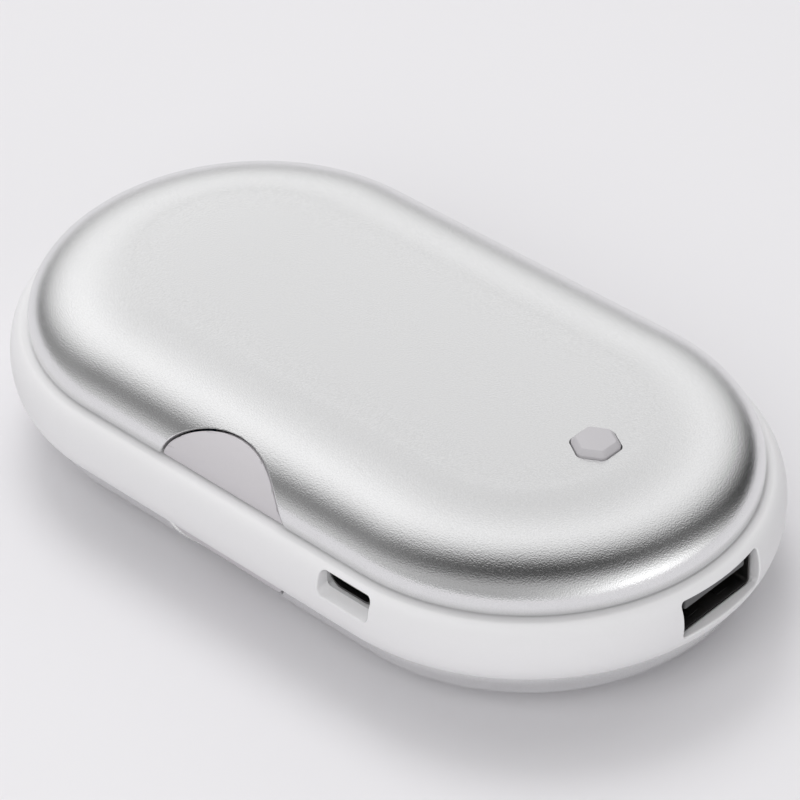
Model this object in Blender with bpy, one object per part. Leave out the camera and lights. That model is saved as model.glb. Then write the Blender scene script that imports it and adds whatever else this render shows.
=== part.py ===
"""Rechargeable hand warmer: two dished aluminium shells on a bulging white band.

Metres, +Z up. The origin is the middle of the lower flat. +X points at the USB-A outlet, and -Y at the
micro-USB inlet and the half-moon light windows.
"""
import math

import bmesh
import bpy
from mathutils import Matrix, Vector

# Clearances
GAP = 0.0003
CORE_GAP = 0.0005
OVERRUN = 0.0020
MERGE_DISTANCE = 0.000001

# Cells and their strips, which set the size of the whole
CELL_RADIUS = 0.0092
CELL_LENGTH = 0.0640
CELL_BEVEL = 0.0006
CELL_SETBACK = 0.0027
CELL_CAP_HEIGHT = 0.0012
CELL_CAP_SHARE = 0.489
PAPER_THICK = 0.0003
PAPER_SHARE = 0.848
STRIP_THICK = 0.0002
STRIP_HEIGHT_SHARE = 0.652
STRIP_REACH_SHARE = 0.543

# Plan outline and shells
END_ROOM = 0.0079
SIDE_ROOM = 0.01065
CAP_CENTRE = CELL_LENGTH / 2 - END_ROOM
SHELL_RADIUS = CELL_RADIUS * 2 + GAP / 2 + SIDE_ROOM
SHELL_WALL = 0.0010
SKIRT_HEIGHT = 0.0009
SHOULDER_REACH = 0.0140
CAP_STEPS = 18
INNER_CAP_STEPS = 10
SHOULDER_STEPS = 7

# Band between the shells
BAND_HEIGHT = 0.0086
BAND_EDGE = 0.0008
BAND_BULGE = 0.0028
BAND_INSET = 0.0022
BAND_STEPS = 7
LIP_WALL = 0.0009
LIP_HEIGHT = 0.0012
LIP_POCKET = 0.0002

# Half-moon light windows, lamps and their boards
WINDOW_TILT = math.radians(33)
WINDOW_RADIUS = 0.0119
WINDOW_DROP_SHARE = 0.395
WINDOW_SINK = 0.0002
WINDOW_THICK = 0.0012
WINDOW_SIDE_ROOM = 0.0015
LAMP_BAR = (0.0120, 0.0012, 0.0007)
LAMP_RISE = 0.0026
LAMP_SETBACK = 0.0019
LAMP_BOARD = (0.0150, 0.0032, 0.0008)

# Power button, its guide and the switch under it
BUTTON_REACH = 0.0110
BUTTON_CORNER = 0.0032
BUTTON_SOFTNESS = 0.0005
BUTTON_PROUD = 0.0008
BUTTON_EDGE = 0.00012
BUTTON_COLLAR = 0.0042
COLLAR_THICK = 0.0008
STEM_RADIUS = 0.0016
PRESS = 0.00035
GUIDE_WALL = 0.0015
GUIDE_BASE = 0.0008
SWITCH_SIZE = 0.0060
SWITCH_HEIGHT = 0.0035
PLUNGER_RADIUS = 0.00175
PLUNGER_RISE = 0.0012
PLUNGER_SINK = 0.0012

# USB-A outlet
USB_A_DROP = 0.0036
USB_A_OPENING = (0.0139, 0.0052)
USB_A_FACE = 0.0018
USB_A_SHELL = (0.0139, 0.0131, 0.0057)
USB_A_WALL = 0.0003
USB_A_BLOCK = 0.0044
USB_A_TONGUE = (0.0089, 0.0111, 0.0018)
USB_A_CONTACT = (0.0060, 0.0010, 0.00015)
USB_A_CONTACTS = 4
USB_A_PITCH = 0.0023

# Micro-USB inlet
MICRO_SETBACK = 0.0011
MICRO_SHELL = (0.0075, 0.0070, 0.0025)
MICRO_FACE = 0.0021
MICRO_RISE = 0.0017
MICRO_LEG = (0.0002, 0.0012)
MICRO_WALL = 0.0003
MICRO_CHAMFER = (0.0012, 0.0010)
MICRO_MOUTH = (0.0083, 0.0034)
MICRO_MOUTH_DROP = 0.0023
MICRO_BLOCK = 0.0012
MICRO_TONGUE = (0.0036, 0.0051, 0.0006)
MICRO_CONTACT = (0.0003, 0.0036, 0.00012)
MICRO_CONTACTS = 5
MICRO_PITCH = 0.0006

# Heaters and foam pads
FILM_MARGIN = 0.0012
FILM_ROOM = 0.0021
FILM_THICK = 0.00025
FOAM_THICK = 0.00155
FOAM_MARGIN = 0.0005
BEAD_RADIUS = 0.0007
BEAD_SETBACK = 0.0121
BEAD_ROOM = 0.0005

# Trays
TRAY_WALL = 0.0014
TRAY_WALL_HEIGHT = 0.0062
WEB_HEIGHT = 0.0038
RIB_THICK = 0.0014
RIB_RECESS = 0.0002
RIB_SHARES = (-1.49, -0.91, -0.26, 0.26, 0.79)
BEAM_WIDTH = 0.0020
BEAM_LOW_SHARE = 0.543
BEAM_HIGH_SHARE = 0.761
BOSS_RADIUS = 0.0020
BOSS_ROOM = 0.0013
BOSS_HEIGHT = 0.0050

# Screws
SCREW_RADIUS = 0.00075
SCREW_HEAD_RADIUS = 0.0015
SCREW_HEAD_HEIGHT = 0.0010
SCREW_LENGTH = 0.0080
SLOT_DEPTH = 0.0005
SLOT_REACH = 0.0010
SLOT_WIDTH = 0.0004

# Main board and what stands on it
BOARD_DROP = 0.0052
BOARD_THICK = 0.0012
BOARD_MARGIN = 0.0005
BOARD_BACK = 0.0010
ARM_MARGIN = 0.00075
ARM_ROOM = 0.0007
BOARD_SCREW_LENGTH = 0.0052
BOARD_SCREW_HEAD = 0.0007
CHIP_SIZE = (0.0050, 0.0050, 0.0009)
SMALL_CHIP_SIZE = (0.0030, 0.0018, 0.0010)
COIL_SIZE = (0.0060, 0.0060, 0.0028)
CAN_RADIUS = 0.0018
CAN_HEIGHT = 0.0050

# Places on the board, as shares of its radius from the centre of its round edge
BOARD_SCREW_SHARES = (0.238, 0.665)
CHIP_SHARES = (0.320, 0.363)
SMALL_CHIP_SHARES = ((0.600, 0.423), (0.600, 0.605), (0.782, 0.423))
COIL_SHARES = (0.620, -0.565)
CAN_SHARES = ((0.238, -0.484), (0.420, -0.806), (0.460, 0.806))

# Wires
LEAD_RADIUS = 0.0005
FINE_LEAD_RADIUS = 0.0003
LEAD_SPACING = 0.0030

# Places that follow from the sizes above
MID = CELL_RADIUS + FOAM_THICK + FILM_THICK + SHELL_WALL + GAP * 3
SHELL_HEIGHT = MID - BAND_HEIGHT / 2
SEAM_LOW = SHELL_HEIGHT
SEAM_HIGH = SHELL_HEIGHT + BAND_HEIGHT
TOTAL = MID * 2
SHOULDER_RISE = SHELL_HEIGHT - GAP - SKIRT_HEIGHT
BAND_INNER = SHELL_RADIUS - BAND_INSET
SKIN_LEVEL = TOTAL - SHELL_WALL
FILM_LEVEL = SKIN_LEVEL - GAP - FILM_THICK
CELL_TOP = MID + CELL_RADIUS
CELL_CAP_RADIUS = CELL_RADIUS * CELL_CAP_SHARE
PAPER_RADIUS = CELL_RADIUS * PAPER_SHARE
STRIP_HEIGHT = CELL_RADIUS * STRIP_HEIGHT_SHARE
STRIP_REACH = CELL_RADIUS * STRIP_REACH_SHARE
BEAM_LOW = CELL_RADIUS * BEAM_LOW_SHARE
BEAM_HIGH = CELL_RADIUS * BEAM_HIGH_SHARE
CELL_Y = CELL_RADIUS + GAP / 2
CELL_FRONT = CAP_CENTRE - CELL_SETBACK
CELL_BACK = CELL_FRONT - CELL_LENGTH
CAP_FRONT = CELL_FRONT + CELL_CAP_HEIGHT
TRAY_RADIUS = BAND_INNER - GAP
BOARD_TOP = SEAM_HIGH - BOARD_DROP
BOARD_BASE = BOARD_TOP - BOARD_THICK
BOARD_RADIUS = TRAY_RADIUS - TRAY_WALL - BOARD_MARGIN
PART_LEVEL = BOARD_TOP + GAP
SWITCH_TOP = PART_LEVEL + SWITCH_HEIGHT
PLUNGER_TOP = SWITCH_TOP + PLUNGER_RISE
USB_A_X = CAP_CENTRE + SHELL_RADIUS + BAND_BULGE - USB_A_FACE
USB_A_Z = SEAM_HIGH - USB_A_DROP
MICRO_Y = -(SHELL_RADIUS + BAND_BULGE - MICRO_FACE)
MICRO_LEVEL = PART_LEVEL + MICRO_RISE
MICRO_X = CAP_CENTRE - MICRO_SETBACK
ARM_BACK = MICRO_X - MICRO_SHELL[0] / 2 - ARM_MARGIN
ARM_INNER = CELL_Y + CELL_RADIUS + ARM_ROOM
BOSS_X = ARM_BACK - BOSS_RADIUS - BOSS_ROOM
BOSS_Y = (CELL_Y + CELL_RADIUS + TRAY_RADIUS) / 2
BUTTON_X = CAP_CENTRE + BUTTON_REACH
WINDOW_DROP = WINDOW_RADIUS * WINDOW_DROP_SHARE
FILM_RADIUS = SHELL_RADIUS - SHOULDER_REACH - FILM_MARGIN
FILM_FRONT = BUTTON_X - BUTTON_COLLAR - GAP - GUIDE_WALL - FILM_ROOM - FILM_RADIUS
BEAD_X = CAP_CENTRE - BEAD_SETBACK


def clear_scene():
    for item in list(bpy.data.objects):
        bpy.data.objects.remove(item)


def paint(name, colour, roughness, metallic):
    material = bpy.data.materials.new(name)
    material.use_nodes = True
    shader = material.node_tree.nodes["Principled BSDF"]
    shader.inputs["Base Color"].default_value = (*colour, 1)
    shader.inputs["Roughness"].default_value = roughness
    shader.inputs["Metallic"].default_value = metallic
    return material


def make(name, shape, material, origin=(0, 0, 0), smooth=30):
    """Turn a bmesh into a named object whose origin is at the given place."""
    bmesh.ops.remove_doubles(shape, verts=shape.verts, dist=MERGE_DISTANCE)
    bmesh.ops.recalc_face_normals(shape, faces=shape.faces)
    bmesh.ops.translate(shape, vec=-Vector(origin), verts=shape.verts)
    mesh = bpy.data.meshes.new(name)
    shape.to_mesh(mesh)
    shape.free()
    mesh.shade_smooth()
    mesh.set_sharp_from_angle(angle=math.radians(smooth))
    item = bpy.data.objects.new(name, mesh)
    item.location = origin
    bpy.context.collection.objects.link(item)
    if material:
        mesh.materials.append(material)
    return item


def combine(item, name, shape, operation):
    """Join, cut or trim an object with a second shape, which stays behind as a hidden guide."""
    guide = make(name, shape, None)
    guide.hide_render = True
    guide.display_type = "WIRE"
    step = item.modifiers.new(name, "BOOLEAN")
    step.operation = operation
    step.object = guide
    return item


def cut(item, name, shape):
    return combine(item, item.name + "_cut_" + name, shape, "DIFFERENCE")


def join(item, name, shape):
    return combine(item, item.name + "_add_" + name, shape, "UNION")


def trim(item, name, shape):
    return combine(item, item.name + "_in_" + name, shape, "INTERSECT")


def block(low, high, shape=None):
    """A box between two corners, added to a shape or on its own."""
    shape = shape or bmesh.new()
    low, high = Vector(low), Vector(high)
    size = high - low
    place = Matrix.Translation((low + high) / 2) @ Matrix.Diagonal((*size, 1))
    bmesh.ops.create_cube(shape, size=1, matrix=place)
    return shape


def standing(centre, base, size, shape=None):
    """A box that stands at a height, centred on a place in plan."""
    x, y = centre
    low = (x - size[0] / 2, y - size[1] / 2, base)
    high = (x + size[0] / 2, y + size[1] / 2, base + size[2])
    return block(low, high, shape)


def rod(radius, low, high, place=(0, 0), sides=16, shape=None):
    """An upright cylinder between two heights."""
    shape = shape or bmesh.new()
    matrix = Matrix.Translation((*place, (low + high) / 2))
    bmesh.ops.create_cone(shape, cap_ends=True, segments=sides, radius1=radius, radius2=radius,
                          depth=high - low, matrix=matrix)
    return shape


def lying_rod(radius, low, high, y, z, sides=28, shape=None):
    """A cylinder along X between two ends."""
    shape = shape or bmesh.new()
    matrix = Matrix.Translation(((low + high) / 2, y, z)) @ Matrix.Rotation(math.pi / 2, 4, "Y")
    bmesh.ops.create_cone(shape, cap_ends=True, segments=sides, radius1=radius, radius2=radius,
                          depth=high - low, matrix=matrix)
    return shape


def turned(profile, place=(0, 0), sides=20):
    """Spin a closed profile of (radius, height) pairs about an upright axis."""
    shape = bmesh.new()
    points = [shape.verts.new((radius, 0, height)) for radius, height in profile]
    edges = [shape.edges.new(pair) for pair in zip(points, points[1:] + points[:1])]
    bmesh.ops.spin(shape, geom=points + edges, cent=(0, 0, 0), axis=(0, 0, 1), angle=math.tau,
                   steps=sides, use_merge=True)
    bmesh.ops.remove_doubles(shape, verts=shape.verts, dist=MERGE_DISTANCE)
    bmesh.ops.translate(shape, vec=(*place, 0), verts=shape.verts)
    return shape


def round_the_outline(profile, hollow, steps=CAP_STEPS, back=-CAP_CENTRE, front=CAP_CENTRE):
    """Carry a profile of (radius, height) pairs round a stadium whose ends are centred on the X axis.

    A hollow profile closes on itself and gives a ring. Any other gives a solid, filled at both ends.
    """
    shape = bmesh.new()
    points = [shape.verts.new((front, -radius, height)) for radius, height in profile]
    pairs = list(zip(points, points[1:]))
    if hollow:
        pairs.append((points[-1], points[0]))
    rail = points + [shape.edges.new(pair) for pair in pairs]
    for centre, run in ((front, back - front), (back, front - back)):
        turn = bmesh.ops.spin(shape, geom=rail, cent=(centre, 0, 0), axis=(0, 0, 1), angle=math.pi,
                              steps=steps, use_merge=False)
        edges = [part for part in turn["geom_last"] if isinstance(part, bmesh.types.BMEdge)]
        slide = bmesh.ops.extrude_edge_only(shape, edges=edges)["geom"]
        points = [part for part in slide if isinstance(part, bmesh.types.BMVert)]
        bmesh.ops.translate(shape, vec=(run, 0, 0), verts=points)
        rail = points + [part for part in slide if isinstance(part, bmesh.types.BMEdge)]
    bmesh.ops.remove_doubles(shape, verts=shape.verts, dist=MERGE_DISTANCE)
    if not hollow:
        bmesh.ops.holes_fill(shape, edges=[edge for edge in shape.edges if edge.is_boundary])
    return shape


def flip(shape):
    """Turn a shape of the upper half into its twin of the lower half."""
    mirror = Matrix.Translation((0, 0, TOTAL)) @ Matrix.Diagonal((1, 1, -1, 1))
    bmesh.ops.transform(shape, matrix=mirror, verts=shape.verts)
    bmesh.ops.reverse_faces(shape, faces=shape.faces)
    return shape


def sided(shape, upper):
    return shape if upper else flip(shape)


def side_name(name, upper):
    return ("upper_" if upper else "lower_") + name


def dome_point(inset, turn):
    """A point of the shell's dome, set in from its outer skin, at an angle up its shoulder."""
    radius = SHELL_RADIUS - inset - (SHOULDER_REACH - inset) * (1 - math.cos(turn))
    height = SEAM_HIGH + GAP + SKIRT_HEIGHT + (SHOULDER_RISE - inset) * math.sin(turn)
    return radius, height


def dome(inset):
    turns = [math.pi / 2 * step / SHOULDER_STEPS for step in range(SHOULDER_STEPS + 1)]
    return [dome_point(inset, turn) for turn in turns]


def window_place(upward, outward):
    """A place on the window's slanted plane: a distance up the slope and out of its face."""
    y = -SHELL_RADIUS + upward * math.sin(WINDOW_TILT) - outward * math.cos(WINDOW_TILT)
    z = SEAM_HIGH + upward * math.cos(WINDOW_TILT) + outward * math.sin(WINDOW_TILT)
    return y, z


def window_frame(upward, outward):
    """The matrix of a shape that lies on the window's plane, with its +Z out of the face."""
    tilt = Matrix.Rotation(math.pi / 2 - WINDOW_TILT, 4, "X")
    return Matrix.Translation((0, *window_place(upward, outward))) @ tilt


def window_disc(radius, inner, outer, sides=56):
    shape = bmesh.new()
    matrix = window_frame(-WINDOW_DROP, (inner + outer) / 2)
    bmesh.ops.create_cone(shape, cap_ends=True, segments=sides, radius1=radius, radius2=radius,
                          depth=outer - inner, matrix=matrix)
    return shape


def window_block(centre, size, upward, back, shape=None):
    """A box on the window's plane: its place along X and up the slope, and how deep its front lies."""
    shape = shape or bmesh.new()
    matrix = window_frame(upward, back - size[2] / 2)
    place = matrix @ Matrix.Translation((centre, 0, 0)) @ Matrix.Diagonal((*size, 1))
    bmesh.ops.create_cube(shape, size=1, matrix=place)
    return shape


def hexagon(corner, low, high, softness, edge=0):
    """A six-sided prism with two corners on the Y axis and rounded upright edges."""
    shape = rod(corner, low, high, (BUTTON_X, 0), 6)
    upright = [side for side in shape.edges if abs(side.verts[0].co.z - side.verts[1].co.z) > softness]
    bmesh.ops.bevel(shape, geom=upright, offset=softness, offset_type="OFFSET", affect="EDGES",
                    segments=3, profile=0.5, material=-1)
    if edge:
        rim = [side for side in shape.edges if all(vert.co.z > high - edge for vert in side.verts)]
        bmesh.ops.bevel(shape, geom=rim, offset=edge, offset_type="OFFSET", affect="EDGES",
                        segments=1, profile=0.5, material=-1)
    return shape


def pull(shape, faces, way):
    """Pull faces out into a solid along a way, leaving the first face behind as its other end."""
    pulled = bmesh.ops.extrude_face_region(shape, geom=faces, use_keep_orig=True)["geom"]
    points = [part for part in pulled if isinstance(part, bmesh.types.BMVert)]
    bmesh.ops.translate(shape, vec=way, verts=points)


def drawn_box(outline, way, wall, base):
    """A drawn steel can: its outline at the mouth, and the way from there to its closed base."""
    shape = bmesh.new()
    mouth = shape.faces.new([shape.verts.new(point) for point in outline])
    pull(shape, [mouth], way)
    bmesh.ops.recalc_face_normals(shape, faces=shape.faces)
    mouth = min(shape.faces, key=lambda face: face.normal.dot(way))
    bmesh.ops.inset_region(shape, faces=[mouth], thickness=wall, use_even_offset=True)
    well = bmesh.ops.extrude_discrete_faces(shape, faces=[mouth])["faces"][0]
    bmesh.ops.translate(shape, vec=way * (1 - base / way.length), verts=well.verts)
    return shape


def smooth_route(route, spacing):
    """Points along a smooth curve through the route's own points."""
    points = [Vector(point) for point in route]
    ends = [points[0] * 2 - points[1]] + points + [points[-1] * 2 - points[-2]]
    path = []
    for first, start, end, last in zip(ends, ends[1:], ends[2:], ends[3:]):
        run = (end - start).length
        count = max(2, round(run / spacing))
        leave, arrive = (end - first).normalized() * run, (last - start).normalized() * run
        for step in range(count):
            t = step / count
            path.append(start * (2 * t**3 - 3 * t**2 + 1) + leave * (t**3 - 2 * t**2 + t)
                        + end * (3 * t**2 - 2 * t**3) + arrive * (t**3 - t**2))
    return path + [points[-1]]


def wire(name, route, radius, material):
    """An insulated lead, a round tube along its route."""
    curve = bpy.data.curves.new(name, "CURVE")
    curve.dimensions = "3D"
    curve.bevel_depth = radius
    curve.bevel_resolution = 1
    curve.use_fill_caps = True
    path = smooth_route(route, LEAD_SPACING)
    line = curve.splines.new("POLY")
    line.points.add(len(path) - 1)
    for point, place in zip(line.points, path):
        point.co = (*place, 1)
    curve.materials.append(material)
    item = bpy.data.objects.new(name, curve)
    bpy.context.collection.objects.link(item)
    return item


def dished_sheet(outer, inner, upper):
    """A dished sheet between two insets from the shell's skin: outer dome, rim and inner dome."""
    rim = [(SHELL_RADIUS - outer, SEAM_HIGH + GAP), (SHELL_RADIUS - inner, SEAM_HIGH + GAP)]
    profile = dome(outer)[::-1] + rim + dome(inner)
    return sided(round_the_outline(profile, False), upper)


def shell(upper, material):
    blank = dished_sheet(0, SHELL_WALL, upper)
    item = make("top_shell" if upper else "bottom_shell", blank, material)
    cut(item, "window", sided(window_disc(WINDOW_RADIUS, -SHELL_WALL * 3, SHELL_HEIGHT), upper))
    if upper:
        hole = hexagon(BUTTON_CORNER + GAP, SKIN_LEVEL - OVERRUN, TOTAL + OVERRUN, BUTTON_SOFTNESS)
        cut(item, "button", hole)
    return item


def window_recess(upper):
    """The room that a window takes from the band's lip and the seal behind it."""
    half = WINDOW_RADIUS + WINDOW_SIDE_ROOM
    low = (-half, -SHELL_RADIUS + LIP_WALL, SEAM_HIGH - LIP_POCKET)
    high = (half, -TRAY_RADIUS + GAP / 2 + LIP_WALL, TOTAL)
    return sided(block(low, high), upper)


def mid_frame(material):
    """The band: a bulging outer face, a flat inner wall and a lip that locates each shell."""
    reach = BAND_BULGE - BAND_EDGE
    turns = [math.pi * (step / BAND_STEPS - 0.5) for step in range(BAND_STEPS + 1)]
    bulge = [(SHELL_RADIUS + BAND_EDGE + reach * math.cos(turn), MID + BAND_HEIGHT / 2 * math.sin(turn))
             for turn in turns]
    lip_high = SEAM_HIGH + LIP_HEIGHT
    lip = BAND_INNER + LIP_WALL
    upper_lip = [(lip, SEAM_HIGH), (lip, lip_high), (BAND_INNER, lip_high)]
    lower_lip = [(radius, TOTAL - height) for radius, height in reversed(upper_lip)]
    item = make("mid_frame", round_the_outline(bulge + upper_lip + lower_lip, True), material)
    for upper in (True, False):
        cut(item, side_name("window", upper), window_recess(upper))
    cut_ports(item)
    return item


def cut_ports(item):
    wide, high = USB_A_OPENING
    low = (CAP_CENTRE, -wide / 2, USB_A_Z - high / 2)
    cut(item, "outlet", block(low, (SHELL_RADIUS * 2, wide / 2, USB_A_Z + high / 2)))
    depth, wide, high = (size + GAP * 2 for size in USB_A_SHELL)
    cut(item, "outlet_seat", block((CAP_CENTRE, -wide / 2, USB_A_Z - high / 2),
                                   (USB_A_X, wide / 2, USB_A_Z + high / 2)))
    wide, depth, high = (size + GAP * 2 for size in MICRO_SHELL)
    seat = standing((MICRO_X, MICRO_Y + MICRO_SHELL[1] / 2), MICRO_LEVEL - GAP, (wide, depth, high))
    cut(item, "inlet_seat", seat)
    cut(item, "inlet_funnel", inlet_funnel())


def inlet_funnel():
    """The flared mouth of the inlet, from the socket's face out past the band."""
    inner_low, inner_high = MICRO_LEVEL - GAP / 2, MICRO_LEVEL + MICRO_SHELL[2] + GAP / 2
    outer_high = SEAM_HIGH - MICRO_MOUTH_DROP + MICRO_MOUTH[1] / 2
    outer_low = outer_high - MICRO_MOUTH[1]
    inner_half, outer_half = MICRO_SHELL[0] / 2 + GAP / 2, MICRO_MOUTH[0] / 2
    inner_y, outer_y = MICRO_Y - GAP / 2, -(SHELL_RADIUS + BAND_BULGE)
    shape = block((MICRO_X - outer_half, outer_y - OVERRUN / 2, outer_low),
                  (MICRO_X + outer_half, inner_y, outer_high))
    for vert in shape.verts:
        if vert.co.y > (inner_y + outer_y) / 2:
            side = 1 if vert.co.x > MICRO_X else -1
            top = vert.co.z > (outer_low + outer_high) / 2
            vert.co = (MICRO_X + side * inner_half, inner_y, inner_high if top else inner_low)
    return shape


def light_window(upper, material):
    """A half-moon of frosted plastic that follows the dome, just below the skin of the shell."""
    blank = dished_sheet(WINDOW_SINK, WINDOW_SINK + WINDOW_THICK, upper)
    item = make(side_name("light_window", upper), blank, material)
    disc = window_disc(WINDOW_RADIUS - GAP, -SHELL_WALL * 3, SHELL_HEIGHT)
    return trim(item, "outline", sided(disc, upper))


def lamp_bar(upper, material):
    """The indicator lamps of one side, under their common strip of resin."""
    shape = window_block(0, LAMP_BAR, LAMP_RISE, -LAMP_SETBACK)
    return make(side_name("led_bar", upper), sided(shape, upper), material)


def lamp_board(upper, material):
    back = -LAMP_SETBACK - LAMP_BAR[2] - GAP
    shape = window_block(0, LAMP_BOARD, LAMP_RISE, back)
    return make(side_name("led_board", upper), sided(shape, upper), material)


def power_button(material):
    """The six-sided cap, its collar under the shell and the stem that reaches down to the switch."""
    collar_top = SKIN_LEVEL - GAP
    place = (BUTTON_X, 0)
    stem = rod(STEM_RADIUS, PLUNGER_TOP + GAP, collar_top - COLLAR_THICK / 2, place, 16)
    item = make("power_button", hexagon(BUTTON_CORNER, collar_top - COLLAR_THICK / 2, TOTAL + BUTTON_PROUD,
                                        BUTTON_SOFTNESS, BUTTON_EDGE), material, (BUTTON_X, 0, TOTAL))
    join(item, "collar", rod(BUTTON_COLLAR, collar_top - COLLAR_THICK, collar_top, place, 24))
    return join(item, "stem", stem)


def button_guide(material):
    """The cup glued under the top shell, which keeps the button upright and in place."""
    top = SKIN_LEVEL - GAP
    floor = top - COLLAR_THICK - PRESS - GAP
    bore, outer = BUTTON_COLLAR + GAP, BUTTON_COLLAR + GAP + GUIDE_WALL
    stem = STEM_RADIUS + GAP
    profile = [(outer, top), (bore, top), (bore, floor), (stem, floor), (stem, floor - GUIDE_BASE),
               (outer, floor - GUIDE_BASE)]
    return make("button_guide", turned(profile, (BUTTON_X, 0), 24), material)


def tact_switch(body_material, plunger_material):
    well_radius = PLUNGER_RADIUS + GAP
    well_floor = SWITCH_TOP - PLUNGER_SINK - PRESS - GAP
    place = (BUTTON_X, 0)
    body = make("tact_switch_body", standing(place, PART_LEVEL, (SWITCH_SIZE, SWITCH_SIZE, SWITCH_HEIGHT)),
                body_material)
    cut(body, "well", rod(well_radius, well_floor, SWITCH_TOP + OVERRUN, place))
    make("tact_switch_plunger", rod(PLUNGER_RADIUS, SWITCH_TOP - PLUNGER_SINK, PLUNGER_TOP, place, 20),
         plunger_material, (BUTTON_X, 0, SWITCH_TOP))


def usb_a(steel, plastic, brass):
    length, wide, high = USB_A_SHELL
    low, top = USB_A_Z - high / 2, USB_A_Z + high / 2
    outline = [(USB_A_X - GAP, y, z) for y, z in ((-wide / 2, low), (wide / 2, low), (wide / 2, top),
                                                  (-wide / 2, top))]
    make("usb_a_shell", drawn_box(outline, Vector((-length, 0, 0)), USB_A_WALL, USB_A_WALL), steel)
    back = USB_A_X - length + USB_A_WALL
    step = USB_A_WALL + GAP
    tongue_length, tongue_wide, tongue_thick = USB_A_TONGUE
    root = block((back, -wide / 2 + step, low + step), (back + USB_A_BLOCK, wide / 2 - step, top - step))
    tongue_front = back + USB_A_BLOCK + tongue_length
    tongue_base = USB_A_Z + GAP
    item = make("usb_a_tongue", root, plastic)
    join(item, "blade", block((back + USB_A_BLOCK / 2, -tongue_wide / 2, tongue_base),
                              (tongue_front, tongue_wide / 2, tongue_base + tongue_thick)))
    strip_long, strip_wide, strip_thick = USB_A_CONTACT
    reach = strip_thick * 2
    start = back + USB_A_BLOCK + GAP
    half = (USB_A_CONTACTS - 1) / 2 * USB_A_PITCH
    level = tongue_base - GAP
    bar = block((start, -half, level - reach), (start + strip_wide, half, level))
    comb = make("usb_a_contacts", bar, brass)
    for number in range(USB_A_CONTACTS):
        place = number * USB_A_PITCH - half
        centre = (start + strip_wide / 2 + strip_long / 2, place)
        strip = standing(centre, level - reach * 3 / 4, (strip_long, strip_wide, strip_thick))
        join(comb, f"strip_{number}", strip)


def micro_outline():
    """The socket's mouth, wide at the top and cut off at both lower corners."""
    half, high = MICRO_SHELL[0] / 2, MICRO_SHELL[2]
    across, up = MICRO_CHAMFER
    half_outline = [(half - across, 0), (half, up), (half, high)]
    full = half_outline + [(-x, z) for x, z in reversed(half_outline)]
    return [(MICRO_X + x, MICRO_Y, MICRO_LEVEL + z) for x, z in full]


def micro_usb(steel, plastic, brass):
    """The inlet socket. It stands on two legs, because its mouth is higher than the board."""
    wide, length, high = MICRO_SHELL
    box = drawn_box(micro_outline(), Vector((0, length, 0)), MICRO_WALL, MICRO_WALL)
    item = make("micro_usb_shell", box, steel)
    thick, foot = MICRO_LEG
    legs = bmesh.new()
    for side in (-1, 1):
        place = (MICRO_X + side * (wide - MICRO_WALL) / 2, MICRO_Y + length - foot)
        standing(place, PART_LEVEL, (thick, foot, MICRO_RISE + high / 2), legs)
    join(item, "legs", legs)
    back = MICRO_Y + length - MICRO_WALL - GAP
    blade_wide, blade_long, blade_thick = MICRO_TONGUE
    base = MICRO_LEVEL + high / 2
    root_low = MICRO_LEVEL + MICRO_CHAMFER[1]
    root_top = MICRO_LEVEL + high - MICRO_WALL - GAP
    root_half = wide / 2 - MICRO_WALL - GAP
    item = make("micro_usb_tongue", block((MICRO_X - root_half, back - MICRO_BLOCK, root_low),
                                          (MICRO_X + root_half, back, root_top)), plastic)
    join(item, "blade", block((MICRO_X - blade_wide / 2, back - MICRO_BLOCK - blade_long, base),
                              (MICRO_X + blade_wide / 2, back - MICRO_BLOCK / 2, base + blade_thick)))
    strip_wide, strip_long, strip_thick = MICRO_CONTACT
    reach = strip_thick * 2
    start = back - MICRO_BLOCK - GAP
    half = (MICRO_CONTACTS - 1) / 2 * MICRO_PITCH
    level = base - GAP
    comb = make("micro_usb_contacts", block((MICRO_X - half, start - strip_wide, level - reach),
                                            (MICRO_X + half, start, level)), brass)
    for number in range(MICRO_CONTACTS):
        place = MICRO_X - half + number * MICRO_PITCH
        centre = (place, start - strip_wide / 2 - strip_long / 2)
        strip = standing(centre, level - reach * 3 / 4, (strip_wide, strip_long, strip_thick))
        join(comb, f"strip_{number}", strip)


def cell(name, y, material):
    shape = lying_rod(CELL_RADIUS, CELL_BACK, CELL_FRONT, y, MID)
    rims = [edge for edge in shape.edges if abs(edge.verts[0].co.x - edge.verts[1].co.x) < CELL_BEVEL]
    bmesh.ops.bevel(shape, geom=rims, offset=CELL_BEVEL, offset_type="OFFSET", affect="EDGES",
                    segments=1, profile=0.5, material=-1)
    return make(name, shape, material)


def cell_cap(name, y, material):
    return make(name, lying_rod(CELL_CAP_RADIUS, CELL_FRONT + GAP, CAP_FRONT, y, MID, 24), material)


def cell_paper(name, y, material):
    """A paper ring round a raised cap, lying on the cell's end."""
    low, high = CELL_FRONT + GAP, CELL_FRONT + GAP + PAPER_THICK
    hole = CELL_CAP_RADIUS + GAP
    ring = turned([(PAPER_RADIUS, low), (hole, low), (hole, high), (PAPER_RADIUS, high)])
    lay = Matrix.Translation((0, y, MID)) @ Matrix.Rotation(math.pi / 2, 4, "Y")
    bmesh.ops.transform(ring, matrix=lay, verts=ring.verts)
    return make(name, ring, material)


def nickel_strips(material):
    half = CELL_Y + STRIP_REACH
    for name, low in (("nickel_strip_positive", CAP_FRONT + GAP),
                      ("nickel_strip_negative", CELL_BACK - GAP - STRIP_THICK)):
        make(name, block((low, -half, MID - STRIP_HEIGHT / 2),
                         (low + STRIP_THICK, half, MID + STRIP_HEIGHT / 2)),
             material)


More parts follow.
